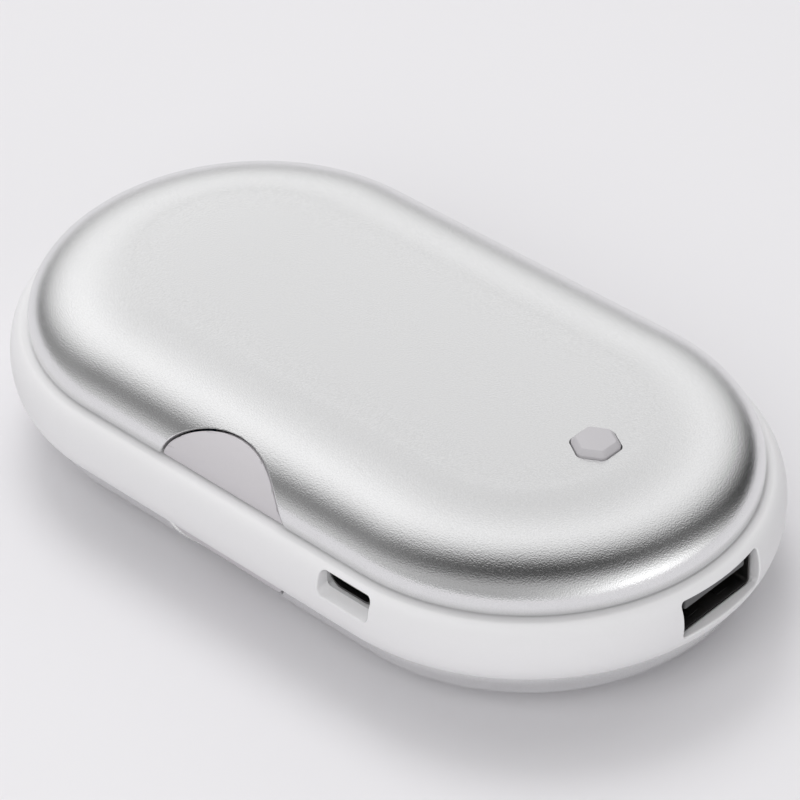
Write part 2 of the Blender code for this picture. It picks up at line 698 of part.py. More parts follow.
def flat_pad(radius, low, thick):
    """A flat piece with the outline of the shell's flat, shortened at the button's end."""
    return round_the_outline([(radius, low), (radius, low + thick)], False, INNER_CAP_STEPS, -CAP_CENTRE,
                             FILM_FRONT)


def heater(upper, film_material, foam_material):
    make(side_name("heater_film", upper), sided(flat_pad(FILM_RADIUS, FILM_LEVEL, FILM_THICK), upper),
         film_material)
    low = CELL_TOP + GAP
    pad = flat_pad(FILM_RADIUS - FOAM_MARGIN, low, FOAM_THICK)
    foam = make(side_name("foam_pad", upper), sided(pad, upper), foam_material)
    if upper:
        room = BEAD_RADIUS + BEAD_ROOM
        slot = block((BEAD_X, CELL_Y - room, low - OVERRUN / 2), (SHELL_RADIUS * 2, CELL_Y + room, TOTAL))
        cut(foam, "bead", slot)


def thermistor(material):
    shape = bmesh.new()
    level = (CELL_TOP + FILM_LEVEL) / 2
    matrix = Matrix.Translation((BEAD_X + BEAD_RADIUS + BEAD_ROOM, CELL_Y, level))
    bmesh.ops.create_uvsphere(shape, u_segments=12, v_segments=8, radius=BEAD_RADIUS, matrix=matrix)
    return make("thermistor", shape, material)


def shell_seal(upper, material):
    low = SEAM_HIGH + LIP_HEIGHT + GAP
    inner, outer = BAND_INNER + GAP / 2, BAND_INNER + LIP_WALL - GAP
    high = low + LIP_WALL
    shape = round_the_outline([(inner, low), (outer, low), (outer, high), (inner, high)], True)
    item = make(side_name("shell_seal", upper), sided(shape, upper), material)
    return cut(item, side_name("recess", upper), window_recess(upper))


def tray_space():
    """The room inside the upper shell that a tray may fill, from the middle plane to the cells' top."""
    turns = [math.pi / 2 * step / SHOULDER_STEPS for step in range(SHOULDER_STEPS + 1)]
    points = [dome_point(SHELL_WALL + CORE_GAP, turn) for turn in turns]
    inside = [(min(radius, TRAY_RADIUS), height) for radius, height in points
              if SEAM_HIGH + LIP_HEIGHT < height < CELL_TOP]
    foot = MID + GAP / 2 + RIB_RECESS
    return round_the_outline([(TRAY_RADIUS - RIB_RECESS, foot)]
                             + [(radius - RIB_RECESS, height) for radius, height in inside], False,
                             INNER_CAP_STEPS)


def boss_places():
    return [(x, y) for x in (-BOSS_X, BOSS_X) for y in (-BOSS_Y, BOSS_Y)]


def tray(upper, material):
    """A moulded tray: a low wall, cross ribs shaped to the cells, a beam between them and screw bosses."""
    low = MID + GAP / 2
    inner = TRAY_RADIUS - TRAY_WALL
    wall_top = MID + TRAY_WALL_HEIGHT
    wall = [(inner, low), (TRAY_RADIUS, low), (TRAY_RADIUS, wall_top), (inner, wall_top)]
    name = side_name("carrier", upper)
    item = make(name, sided(round_the_outline(wall, True, INNER_CAP_STEPS), upper), material)
    places = [share * CAP_CENTRE for share in RIB_SHARES]
    stop = GAP * 2 + STRIP_THICK + RIB_THICK / 2
    places += [CAP_FRONT + stop, CELL_BACK - stop]
    ribs = bmesh.new()
    for x in places:
        block((x - RIB_THICK / 2, -SHELL_RADIUS, SEAM_LOW), (x + RIB_THICK / 2, SHELL_RADIUS, TOTAL), ribs)
    skeleton = make(name + "_ribs", sided(ribs, upper), None)
    skeleton.hide_render = True
    skeleton.display_type = "WIRE"
    trim(skeleton, "space", sided(tray_space(), upper))
    step = item.modifiers.new("ribs", "BOOLEAN")
    step.operation = "UNION"
    step.object = skeleton
    half = BEAM_WIDTH / 2
    beam = block((min(RIB_SHARES) * CAP_CENTRE, -half, MID + BEAM_LOW),
                 (CAP_FRONT + stop, half, MID + BEAM_HIGH))
    join(item, "beam", sided(beam, upper))
    bosses, webs = bmesh.new(), bmesh.new()
    for x, y in boss_places():
        rod(BOSS_RADIUS, low + RIB_RECESS / 2, MID + BOSS_HEIGHT, (x, y), 16, bosses)
        side = math.copysign(TRAY_RADIUS - TRAY_WALL / 2, y)
        block((x - RIB_THICK / 2, min(y, side), low + RIB_RECESS),
              (x + RIB_THICK / 2, max(y, side), MID + WEB_HEIGHT), webs)
    join(item, "bosses", sided(bosses, upper))
    join(item, "webs", sided(webs, upper))
    for y in (-CELL_Y, CELL_Y):
        bed = lying_rod(CELL_RADIUS + GAP, CELL_BACK - GAP - STRIP_THICK, CAP_FRONT + GAP + STRIP_THICK,
                        y, MID)
        cut(item, "cell_right" if y < 0 else "cell_left", bed)
    valley = block((-SHELL_RADIUS * 2, -half, MID + BEAM_HIGH + GAP), (SHELL_RADIUS * 2, half, TOTAL))
    cut(item, "valley", sided(valley, upper))
    holes = bmesh.new()
    for place in boss_places():
        rod(SCREW_RADIUS + GAP, MID - SHELL_RADIUS, MID + SHELL_RADIUS, place, 12, holes)
    cut(item, "screws", holes)
    return item


def fit_tray(item, upper):
    """Clear the tray for the sockets, the lamp board and, in the lower tray, the main board."""
    length, wide, high = USB_A_SHELL
    back = USB_A_X - length - GAP * 2
    cut(item, "outlet", block((back, -wide / 2 - GAP, USB_A_Z - high / 2 - GAP),
                              (SHELL_RADIUS * 2, wide / 2 + GAP, USB_A_Z + high / 2 + GAP)))
    wide, length, high = MICRO_SHELL
    cut(item, "inlet", block((MICRO_X - wide / 2 - GAP, -SHELL_RADIUS, BOARD_TOP),
                             (MICRO_X + wide / 2 + GAP, MICRO_Y + length + GAP, MICRO_LEVEL + high + GAP)))
    depth = LAMP_SETBACK + LAMP_BAR[2] + LAMP_BOARD[2] + GAP * 2
    half = WINDOW_RADIUS + WINDOW_SIDE_ROOM
    slope = window_block(0, (half * 2, half * 2, SHELL_RADIUS), half + GAP * 2, SHELL_RADIUS - depth)
    cut(item, "window", sided(slope, upper))
    if not upper:
        cut(item, "board", board_shape(GAP, BOARD_BASE - GAP, SEAM_HIGH))
        cut(item, "arm", arm_shape(GAP, BOARD_BASE - GAP, SEAM_HIGH))
        join_board_bosses(item)
    return item


def board_start():
    return CAP_FRONT + GAP * 3 + STRIP_THICK + RIB_THICK + BOARD_BACK


def board_shape(grow, low, high):
    """The half-round board at the outlet end, grown by a clearance where it serves as a cutter."""
    radius = BOARD_RADIUS + grow
    start = board_start() - grow
    shape = rod(radius, low, high, (CAP_CENTRE, 0), 48)
    whole = shape.verts[:] + shape.edges[:] + shape.faces[:]
    bmesh.ops.bisect_plane(shape, geom=whole, plane_co=(start, 0, 0), plane_no=(-1, 0, 0), clear_outer=True)
    bmesh.ops.holes_fill(shape, edges=[edge for edge in shape.edges if edge.is_boundary])
    return shape


def arm_shape(grow, low, high):
    """The arm of the board that carries the inlet, beside the cells."""
    return block((ARM_BACK - grow, -BOARD_RADIUS - grow, low),
                 (board_start() + BOARD_BACK, -ARM_INNER + grow, high))


def board_place(shares):
    return CAP_CENTRE + BOARD_RADIUS * shares[0], BOARD_RADIUS * shares[1]


def board_screw_places():
    x, y = board_place(BOARD_SCREW_SHARES)
    return [(x, -y), (x, y)]


def join_board_bosses(item):
    for number, place in enumerate(board_screw_places()):
        low = TOTAL - CELL_TOP
        boss = rod(BOSS_RADIUS, low + BOARD_THICK, BOARD_BASE - GAP, place, 16)
        join(item, f"board_boss_{number}", boss)
        arm = block((board_start() - BOARD_BACK - RIB_THICK, place[1] - RIB_THICK / 2, low + BOARD_THICK),
                    (place[0], place[1] + RIB_THICK / 2, BOARD_BASE - GAP * 2))
        join(item, f"board_arm_{number}", arm)
        hole = rod(SCREW_RADIUS + GAP, BOARD_TOP - BOARD_SCREW_LENGTH - GAP, MID, place, 12)
        cut(item, f"board_hole_{number}", hole)


def main_board(material):
    item = make("main_board", board_shape(0, BOARD_BASE, BOARD_TOP), material)
    join(item, "arm", arm_shape(0, BOARD_BASE, BOARD_TOP))
    length, wide, high = USB_A_SHELL
    notch = block((USB_A_X - length - GAP * 2, -wide / 2 - GAP, MID - SHELL_RADIUS),
                  (SHELL_RADIUS * 2, wide / 2 + GAP, MID + SHELL_RADIUS))
    cut(item, "notch", notch)
    holes = bmesh.new()
    for place in board_screw_places():
        rod(SCREW_RADIUS + GAP, BOARD_BASE - OVERRUN, BOARD_TOP + OVERRUN, place, 12, holes)
    return cut(item, "screws", holes)


def board_parts(chip, coil, can):
    make("controller_chip", standing(board_place(CHIP_SHARES), PART_LEVEL, CHIP_SIZE), chip)
    for number, shares in enumerate(SMALL_CHIP_SHARES, 1):
        make(f"protection_chip_{number}", standing(board_place(shares), PART_LEVEL, SMALL_CHIP_SIZE), chip)
    inductor = standing(board_place(COIL_SHARES), PART_LEVEL, COIL_SIZE)
    upright = [edge for edge in inductor.edges
               if abs(edge.verts[0].co.z - edge.verts[1].co.z) > COIL_SIZE[2] / 2]
    bmesh.ops.bevel(inductor, geom=upright, offset=COIL_SIZE[2] / 2, offset_type="OFFSET", affect="EDGES",
                    segments=2, profile=0.5, material=-1)
    make("power_inductor", inductor, coil)
    for number, shares in enumerate(CAN_SHARES, 1):
        body = rod(CAN_RADIUS, PART_LEVEL, PART_LEVEL + CAN_HEIGHT, board_place(shares), 20)
        make(f"capacitor_{number}", body, can)


def screw(name, place, head_base, length, head_height, material):
    """A cross-headed screw that stands head up."""
    shape = bmesh.new()
    head_top = head_base + head_height
    profile = [(0, head_base - length), (SCREW_RADIUS, head_base - length), (SCREW_RADIUS, head_base),
               (SCREW_HEAD_RADIUS, head_base), (SCREW_HEAD_RADIUS, head_top), (0, head_top)]
    points = [shape.verts.new((place[0] + radius, place[1], height)) for radius, height in profile]
    edges = [shape.edges.new(pair) for pair in zip(points, points[1:])]
    bmesh.ops.spin(shape, geom=points + edges, cent=(*place, 0), axis=(0, 0, 1), angle=math.tau,
                   steps=12, use_merge=True)
    item = make(name, shape, material)
    for turn, size in enumerate(((SLOT_REACH, SLOT_WIDTH), (SLOT_WIDTH, SLOT_REACH))):
        slot = standing(place, head_top - min(SLOT_DEPTH, head_height / 2), (*size, SLOT_DEPTH * 2))
        cut(item, f"slot_{turn}", slot)
    return item


def leads(red, black, white, grey):
    """The wires that run from the cells, heaters and thermistor to the main board."""
    strip_face = CAP_FRONT + GAP + STRIP_THICK
    landing = board_start() + BOARD_BACK + LEAD_RADIUS * 2
    board_level = BOARD_TOP + GAP + LEAD_RADIUS
    red_y, red_z = CELL_Y - STRIP_REACH, MID + STRIP_HEIGHT / 4
    wire("battery_lead_red", [(strip_face + GAP, red_y, red_z), (board_start() - BOARD_BACK, red_y, red_z),
                              (landing, red_y, board_level)], LEAD_RADIUS, red)
    valley = MID + BEAM_HIGH + GAP * 2 + LEAD_RADIUS
    back = CELL_BACK + LEAD_RADIUS / 2
    wire("battery_lead_black", [(back, 0, MID + STRIP_HEIGHT / 2 + GAP),
                                (back + LEAD_RADIUS, 0, (MID + STRIP_HEIGHT / 2 + valley) / 2),
                                (back + LEAD_RADIUS * 5, 0, valley),
                                (0, 0, valley),
                                (board_start() - BOARD_BACK, 0, valley),
                                (board_start() + LEAD_RADIUS, 0, (MID + valley) / 2),
                                (landing, 0, board_level)], LEAD_RADIUS, black)
    film_end = FILM_FRONT + FILM_RADIUS
    drop = film_end + FINE_LEAD_RADIUS * 3
    fine_level = BOARD_TOP + GAP + FINE_LEAD_RADIUS
    under_level = BOARD_BASE - GAP - FINE_LEAD_RADIUS
    film_middle = FILM_LEVEL + FILM_THICK / 2
    heater_y = -LEAD_RADIUS * 4
    wire("upper_heater_lead", [(film_end + GAP, heater_y, film_middle), (drop, heater_y, SEAM_HIGH),
                               (drop, heater_y, fine_level)], FINE_LEAD_RADIUS, white)
    wire("lower_heater_lead", [(film_end + GAP, heater_y, TOTAL - film_middle), (drop, heater_y, SEAM_LOW),
                               (drop, heater_y, under_level)], FINE_LEAD_RADIUS, white)
    bead_end = BEAD_X + BEAD_RADIUS * 2 + BEAD_ROOM + GAP
    bead_level = (CELL_TOP + FILM_LEVEL) / 2
    wire("thermistor_lead", [(bead_end, CELL_Y, bead_level), (board_start() - BOARD_BACK, CELL_Y, bead_level),
                             (drop, CELL_Y, SEAM_HIGH), (drop, CELL_Y, fine_level)], FINE_LEAD_RADIUS, grey)


def lead_door():
    """The way through the upper tray's front rib for the red lead."""
    half = LEAD_RADIUS + GAP
    low = (CAP_FRONT + GAP, CELL_Y - STRIP_REACH - half, MID - GAP)
    high = (board_start(), CELL_Y - STRIP_REACH + half, MID + STRIP_HEIGHT / 4 + half)
    return block(low, high)


def main():
    clear_scene()
    aluminium = paint("blasted_aluminium", (0.66, 0.66, 0.67), 0.32, 1)
    white = paint("white_band_plastic", (0.72, 0.72, 0.73), 0.45, 0)
    window = paint("frosted_window_plastic", (0.56, 0.55, 0.56), 0.35, 0)
    button = paint("grey_button_plastic", (0.54, 0.54, 0.55), 0.4, 0)
    steel = paint("nickel_plated_steel", (0.62, 0.61, 0.59), 0.28, 1)
    dark = paint("black_socket_plastic", (0.03, 0.03, 0.032), 0.5, 0)
    brass = paint("contact_metal", (0.75, 0.58, 0.28), 0.3, 1)
    tray_white = paint("tray_plastic", (0.45, 0.45, 0.44), 0.6, 0)
    wrap = paint("cell_wrap", (0.08, 0.25, 0.42), 0.35, 0)
    paper = paint("insulating_paper", (0.7, 0.68, 0.6), 0.9, 0)
    green = paint("circuit_board", (0.03, 0.17, 0.07), 0.45, 0)
    chip = paint("chip_resin", (0.02, 0.02, 0.022), 0.55, 0)
    lamp = paint("lamp_resin", (0.85, 0.8, 0.55), 0.3, 0)
    foil = paint("heater_film_polyimide", (0.55, 0.27, 0.05), 0.35, 0)
    foam = paint("grey_foam", (0.12, 0.12, 0.13), 0.95, 0)
    glue = paint("seal_adhesive", (0.5, 0.5, 0.48), 0.8, 0)
    red = paint("red_wire", (0.5, 0.02, 0.02), 0.45, 0)
    black = paint("black_wire", (0.02, 0.02, 0.02), 0.45, 0)
    screw_steel = paint("screw_steel", (0.35, 0.35, 0.36), 0.35, 1)

    mid_frame(white)
    for upper in (True, False):
        shell(upper, aluminium)
        light_window(upper, window)
        lamp_bar(upper, lamp)
        lamp_board(upper, green)
        heater(upper, foil, foam)
        shell_seal(upper, glue)
        item = fit_tray(tray(upper, tray_white), upper)
        if upper:
            cut(item, "lead_door", lead_door())
    power_button(button)
    button_guide(tray_white)
    tact_switch(chip, button)
    usb_a(steel, dark, brass)
    micro_usb(steel, dark, brass)
    for side, y in (("left", CELL_Y), ("right", -CELL_Y)):
        cell("battery_cell_" + side, y, wrap)
        cell_cap("battery_cap_" + side, y, steel)
        cell_paper("battery_insulator_" + side, y, paper)
    nickel_strips(steel)
    thermistor(chip)
    main_board(green)
    board_parts(chip, foam, aluminium)
    for number, place in enumerate(boss_places(), 1):
        screw(f"carrier_screw_{number}", place, MID + BOSS_HEIGHT + GAP, SCREW_LENGTH, SCREW_HEAD_HEIGHT,
              screw_steel)
    for number, place in enumerate(board_screw_places(), 1):
        screw(f"board_screw_{number}", place, BOARD_TOP + GAP, BOARD_SCREW_LENGTH, BOARD_SCREW_HEAD,
              screw_steel)
    leads(red, black, tray_white, foam)


main()
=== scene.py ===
# %% [markdown]
# # A pocket hand warmer, dressed around its working frame
#
# The object is a flat pebble: two dished shells of bead-blasted aluminium, and between them a white band that
# bulges past both. One long side carries half-moon light windows and a charging inlet, one end carries a power
# outlet, and a small six-sided button stands on top. The frame that is loaded here already has every piece at
# its real size. This script gives the outside its fine surfaces and every piece its finish.

# %% Load the frame
import math

import bmesh
import bpy
from mathutils import Matrix, Vector


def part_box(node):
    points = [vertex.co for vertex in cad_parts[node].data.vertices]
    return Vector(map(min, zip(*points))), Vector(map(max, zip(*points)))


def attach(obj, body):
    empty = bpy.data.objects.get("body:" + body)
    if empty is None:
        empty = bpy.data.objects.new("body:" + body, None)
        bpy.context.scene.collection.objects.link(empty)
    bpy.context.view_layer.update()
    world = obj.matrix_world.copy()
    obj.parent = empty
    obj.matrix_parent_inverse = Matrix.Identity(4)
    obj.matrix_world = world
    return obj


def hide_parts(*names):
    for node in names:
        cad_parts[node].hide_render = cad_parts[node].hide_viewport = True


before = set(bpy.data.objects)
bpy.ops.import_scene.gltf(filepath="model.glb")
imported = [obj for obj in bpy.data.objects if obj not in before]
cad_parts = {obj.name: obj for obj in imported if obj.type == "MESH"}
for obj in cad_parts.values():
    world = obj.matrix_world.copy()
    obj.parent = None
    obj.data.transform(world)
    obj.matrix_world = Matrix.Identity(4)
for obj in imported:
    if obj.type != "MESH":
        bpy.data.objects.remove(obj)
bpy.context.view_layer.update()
print("pieces in the frame:", len(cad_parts))

# %% [markdown]
# ## Sizes that come from the frame
#
# Nothing is fitted by eye here. The plan outline is a stadium, a straight run with a half circle at each end,
# so two boxes give all of it: the box of the top shell and the box of the band. The seam is where they meet.

# %% Read the main sizes
shell_low, shell_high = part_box("top_shell")
band_low, band_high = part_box("mid_frame")
frame_gap = 0.0003
shell_radius = shell_high.y
cap_centre = shell_high.x - shell_radius
total = shell_high.z
middle = total / 2
seam = shell_low.z - frame_gap
band_edge = 0.0008
rounding_slack = 0.000002
band_bulge = band_high.y - shell_radius - rounding_slack
shell_wall = 0.0010
skirt = 0.0009
shoulder_reach = 0.0140
print(f"shell radius {shell_radius:.4f}, end centres at {cap_centre:.4f}, seam at {seam:.4f}, top at {total:.4f}")

# %% [markdown]
# ## Helpers: from an outline to a finished piece
#
# A bmesh is a mesh under construction. These helpers turn one into an object, carve openings, and round the
# edges of those openings. A round edge matters more than it seems: it is where a real piece catches the light.

# %% Turn a bmesh into a piece


def finish_piece(name, shape, body, material, replaced=(), smooth=32):
    bmesh.ops.remove_doubles(shape, verts=shape.verts, dist=0.000001)
    bmesh.ops.recalc_face_normals(shape, faces=shape.faces)
    mesh = bpy.data.meshes.new(name)
    shape.to_mesh(mesh)
    shape.free()
    mesh.shade_smooth()
    mesh.set_sharp_from_angle(angle=math.radians(smooth))
    mesh.materials.append(material)
    piece = bpy.data.objects.new(name, mesh)
    bpy.context.scene.collection.objects.link(piece)
    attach(piece, body)
    if replaced:
        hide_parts(*replaced)
    return piece


# %% Carve one shape out of another


def evaluated_mesh(item):
    graph = bpy.context.evaluated_depsgraph_get()
    return bpy.data.meshes.new_from_object(item.evaluated_get(graph))


def boolean(shape, tool, operation):
    """Cut or trim a bmesh with a second one, and give back the result as a new bmesh."""
    items = []
    for part in (shape, tool):
        bmesh.ops.remove_doubles(part, verts=part.verts, dist=0.000001)
        bmesh.ops.recalc_face_normals(part, faces=part.faces)
        mesh = bpy.data.meshes.new("work")
        part.to_mesh(mesh)
        part.free()
        item = bpy.data.objects.new("work", mesh)
        bpy.context.scene.collection.objects.link(item)
        items.append(item)
    step = items[0].modifiers.new("step", "BOOLEAN")
    step.operation = operation
    step.object = items[1]
    bpy.context.view_layer.update()
    result = bmesh.new()
    mesh = evaluated_mesh(items[0])
    result.from_mesh(mesh)
    for item in items:
        bpy.data.objects.remove(item)
    bpy.data.meshes.remove(mesh)
    bmesh.ops.remove_doubles(result, verts=result.verts, dist=0.000002)
    return result


def carve(shape, tool):
    return boolean(shape, tool, "DIFFERENCE")


def keep_inside(shape, tool):
    return boolean(shape, tool, "INTERSECT")


# %% Round the sharp edges that a test picks


def round_edges(shape, width, segments, wanted, angle=30):
    limit = math.radians(angle)
    edges = [edge for edge in shape.edges
             if edge.is_manifold and edge.calc_face_angle() > limit and wanted(edge)]
    bmesh.ops.bevel(shape, geom=edges, offset=width, offset_type="OFFSET", affect="EDGES", segments=segments,
                    profile=0.5, material=-1, clamp_overlap=False)
    return len(edges)


# %% Simple solids to cut with


def block(low, high):
    low, high = Vector(low), Vector(high)
    shape = bmesh.new()
    place = Matrix.Translation((low + high) / 2) @ Matrix.Diagonal((*(high - low), 1))
    bmesh.ops.create_cube(shape, size=1, matrix=place)
    return shape


def along(shape, axis):
    """The edges of a shape that run along one axis."""
    return [edge for edge in shape.edges
            if abs((edge.verts[0].co - edge.verts[1].co).normalized()[axis]) > 0.9]


def soft_block(low, high, axis, radius, segments=6):
    """A block whose four edges along one axis are rounded."""
    shape = block(low, high)
    bmesh.ops.bevel(shape, geom=along(shape, axis), offset=radius, offset_type="OFFSET", affect="EDGES",
                    segments=segments, profile=0.5, material=-1)
    return shape


# %% [markdown]
# ## Carry a profile round the outline
#
# Every large piece of this object is one profile carried round the same stadium. Spin turns the profile through
# the half circle at each end, and an extrusion carries it along the straight run. The straight run is then cut
# across into short lengths, because long thin faces would shade badly where an opening is carved into them.

# %% Carry a profile round the stadium
cap_steps = 72
straight_steps = 30


def carry_round(profile, hollow):
    shape = bmesh.new()
    points = [shape.verts.new((cap_centre, -radius, height)) for radius, height in profile]
    pairs = list(zip(points, points[1:]))
    if hollow:
        pairs.append((points[-1], points[0]))
    rail = points + [shape.edges.new(pair) for pair in pairs]
    for side in (1, -1):
        turn = bmesh.ops.spin(shape, geom=rail, cent=(side * cap_centre, 0, 0), axis=(0, 0, 1), angle=math.pi,
                              steps=cap_steps, use_merge=False)
        edges = [part for part in turn["geom_last"] if isinstance(part, bmesh.types.BMEdge)]
        slide = bmesh.ops.extrude_edge_only(shape, edges=edges)["geom"]
        points = [part for part in slide if isinstance(part, bmesh.types.BMVert)]
        bmesh.ops.translate(shape, vec=(-2 * side * cap_centre, 0, 0), verts=points)
        rail = points + [part for part in slide if isinstance(part, bmesh.types.BMEdge)]
    bmesh.ops.remove_doubles(shape, verts=shape.verts, dist=0.000001)
    for step in range(1, straight_steps):
        x = cap_centre * (2 * step / straight_steps - 1)
        whole = shape.verts[:] + shape.edges[:] + shape.faces[:]
        bmesh.ops.bisect_plane(shape, geom=whole, plane_co=(x, 0, 0), plane_no=(1, 0, 0))
    return shape


def flip(shape):
    """Turn a shape of the upper half into its twin below."""
    mirror = Matrix.Translation((0, 0, total)) @ Matrix.Diagonal((1, 1, -1, 1))
    bmesh.ops.transform(shape, matrix=mirror, verts=shape.verts)
    bmesh.ops.reverse_faces(shape, faces=shape.faces)
    return shape


# %% [markdown]
# ## Finishes
#
# Each finish is a Principled shader with a little life in it. Two effects are shared by many finishes, so each
# is a shader node group, built once: fine grain, which gives a bump height and a slight spread of tone, and
# handling marks, large soft patches where fingers have changed the gloss.

# %% A short way to place nodes


def add_node(tree, kind, **inputs):
    node = tree.nodes.new(kind)
    for name, value in inputs.items():
        socket = node.inputs[name.replace("_", " ")]
        if isinstance(value, bpy.types.NodeSocket):
            tree.links.new(value, socket)
        else:
            socket.default_value = value
    return node


def new_group(name, inputs, outputs):
    tree = bpy.data.node_groups.new(name, "ShaderNodeTree")
    for label, kind, value in inputs:
        socket = tree.interface.new_socket(label, in_out="INPUT", socket_type=kind)
        if value is not None:
            socket.default_value = value
    for label, kind in outputs:
        tree.interface.new_socket(label, in_out="OUTPUT", socket_type=kind)
    return tree, tree.nodes.new("NodeGroupInput"), tree.nodes.new("NodeGroupOutput")


# %% The shared grain


def make_grain():
    tree, given, result = new_group(
        "fine_grain",
        [("Vector", "NodeSocketVector", None), ("Colour", "NodeSocketColor", (0.8, 0.8, 0.8, 1)),
         ("Size", "NodeSocketFloat", 4000.0), ("Spread", "NodeSocketFloat", 0.05),
         ("Strength", "NodeSocketFloat", 0.1), ("Depth", "NodeSocketFloat", 0.00002)],
        [("Colour", "NodeSocketColor"), ("Height", "NodeSocketFloat"), ("Normal", "NodeSocketVector")])
    noise = add_node(tree, "ShaderNodeTexNoise", Vector=given.outputs["Vector"], Scale=given.outputs["Size"],
                     Detail=1.5, Roughness=0.5)
    centred = add_node(tree, "ShaderNodeMath")
    centred.operation = "SUBTRACT"
    tree.links.new(noise.outputs["Fac"], centred.inputs[0])
    centred.inputs[1].default_value = 0.5
    swing = add_node(tree, "ShaderNodeMath")
    swing.operation = "MULTIPLY_ADD"
    tree.links.new(centred.outputs[0], swing.inputs[0])
    tree.links.new(given.outputs["Spread"], swing.inputs[1])
    swing.inputs[2].default_value = 1.0
    tone = add_node(tree, "ShaderNodeVectorMath")
    tone.operation = "SCALE"
    tree.links.new(given.outputs["Colour"], tone.inputs[0])
    tree.links.new(swing.outputs[0], tone.inputs["Scale"])
    bump = add_node(tree, "ShaderNodeBump", Strength=given.outputs["Strength"], Distance=given.outputs["Depth"],
                    Height=noise.outputs["Fac"])
    tree.links.new(tone.outputs[0], result.inputs["Colour"])
    tree.links.new(noise.outputs["Fac"], result.inputs["Height"])
    tree.links.new(bump.outputs["Normal"], result.inputs["Normal"])
    return tree


def make_handling():
    tree, given, result = new_group(
        "handling_marks",
        [("Vector", "NodeSocketVector", None), ("Size", "NodeSocketFloat", 60.0),
         ("Least", "NodeSocketFloat", 0.3), ("Most", "NodeSocketFloat", 0.4)],
        [("Roughness", "NodeSocketFloat")])
    noise = add_node(tree, "ShaderNodeTexNoise", Vector=given.outputs["Vector"], Scale=given.outputs["Size"],
                     Detail=4.0, Roughness=0.55)
    spread = add_node(tree, "ShaderNodeMapRange", Value=noise.outputs["Fac"])
    spread.inputs["From Min"].default_value = 0.3
    spread.inputs["From Max"].default_value = 0.7
    tree.links.new(given.outputs["Least"], spread.inputs["To Min"])
    tree.links.new(given.outputs["Most"], spread.inputs["To Max"])
    tree.links.new(spread.outputs["Result"], result.inputs["Roughness"])
    return tree


grain = make_grain()
handling = make_handling()

# %% One function for all finishes


def finish_of(name, colour, gloss, metallic=0.0, size=4000.0, spread=0.06, strength=0.1, depth=0.00002,
              marks=60.0, **fixed):
    """A finish with grain and handling marks. gloss is the least and the most roughness."""
    material = bpy.data.materials.new(name)
    material.use_nodes = True
    tree = material.node_tree
    shader = tree.nodes["Principled BSDF"]
    shader.inputs["Metallic"].default_value = metallic
    place = tree.nodes.new("ShaderNodeTexCoord")
    texture = tree.nodes.new("ShaderNodeGroup")
    texture.node_tree = grain
    for label, value in (("Colour", (*colour, 1)), ("Size", size), ("Spread", spread), ("Strength", strength),
                         ("Depth", depth)):
        texture.inputs[label].default_value = value
    patches = tree.nodes.new("ShaderNodeGroup")
    patches.node_tree = handling
    for label, value in (("Size", marks), ("Least", gloss[0]), ("Most", gloss[1])):
        patches.inputs[label].default_value = value
    for group in (texture, patches):
        tree.links.new(place.outputs["Object"], group.inputs["Vector"])
    tree.links.new(texture.outputs["Colour"], shader.inputs["Base Color"])
    tree.links.new(texture.outputs["Normal"], shader.inputs["Normal"])
    tree.links.new(patches.outputs["Roughness"], shader.inputs["Roughness"])
    for label, value in fixed.items():
        shader.inputs[label.replace("_", " ")].default_value = value
    return material


# %% The finishes of this object
aluminium = finish_of("blasted_aluminium", (0.80, 0.80, 0.805), (0.18, 0.22), 1.0, 5200.0, 0.20, 1.0, 0.000026)
band_white = finish_of("band_plastic", (0.78, 0.775, 0.785), (0.42, 0.48), size=2600.0, spread=0.015,
                       strength=0.05)
window_grey = finish_of("window_plastic", (0.58, 0.56, 0.58), (0.34, 0.40), size=1800.0, spread=0.02,
                        strength=0.03)
button_grey = finish_of("button_plastic", (0.52, 0.505, 0.525), (0.38, 0.44), size=3800.0, spread=0.04,
                        strength=0.08)
port_steel = finish_of("port_steel", (0.11, 0.108, 0.106), (0.28, 0.40), 1.0, 1500.0, 0.08, 0.10)
port_black = finish_of("port_plastic", (0.10, 0.10, 0.103), (0.42, 0.55), size=3000.0, spread=0.2)
contact_gold = finish_of("contact_metal", (0.78, 0.56, 0.25), (0.20, 0.30), 1.0, 2500.0, 0.08)
tray_grey = finish_of("inner_plastic", (0.45, 0.45, 0.44), (0.50, 0.62), size=2200.0, spread=0.05)
cell_blue = finish_of("cell_wrap", (0.05, 0.17, 0.40), (0.25, 0.38), size=900.0, spread=0.05)
paper_buff = finish_of("insulating_paper", (0.62, 0.58, 0.48), (0.80, 0.90), size=3000.0, spread=0.15)
board_green = finish_of("circuit_board", (0.012, 0.10, 0.035), (0.30, 0.42), size=1200.0, spread=0.35)
chip_black = finish_of("chip_resin", (0.015, 0.015, 0.016), (0.45, 0.60), size=3500.0, spread=0.25)
coil_grey = finish_of("coil_ferrite", (0.05, 0.05, 0.055), (0.50, 0.65), size=2000.0, spread=0.3)
can_metal = finish_of("capacitor_can", (0.65, 0.65, 0.66), (0.20, 0.30), 1.0, 1800.0, 0.05)
lamp_yellow = finish_of("lamp_resin", (0.78, 0.70, 0.30), (0.15, 0.25), size=1500.0, spread=0.08)
film_amber = finish_of("heater_film", (0.50, 0.19, 0.02), (0.20, 0.32), size=700.0, spread=0.15)
foam_grey = finish_of("foam", (0.045, 0.045, 0.05), (0.85, 0.95), size=2500.0, spread=0.6, strength=0.6,
                      depth=0.0002)
glue_grey = finish_of("seal_adhesive", (0.40, 0.40, 0.38), (0.60, 0.75), size=1500.0, spread=0.1)
wire_red = finish_of("red_wire", (0.42, 0.01, 0.01), (0.35, 0.45), size=1500.0, spread=0.05)
wire_black = finish_of("black_wire", (0.012, 0.012, 0.013), (0.35, 0.45), size=1500.0, spread=0.2)
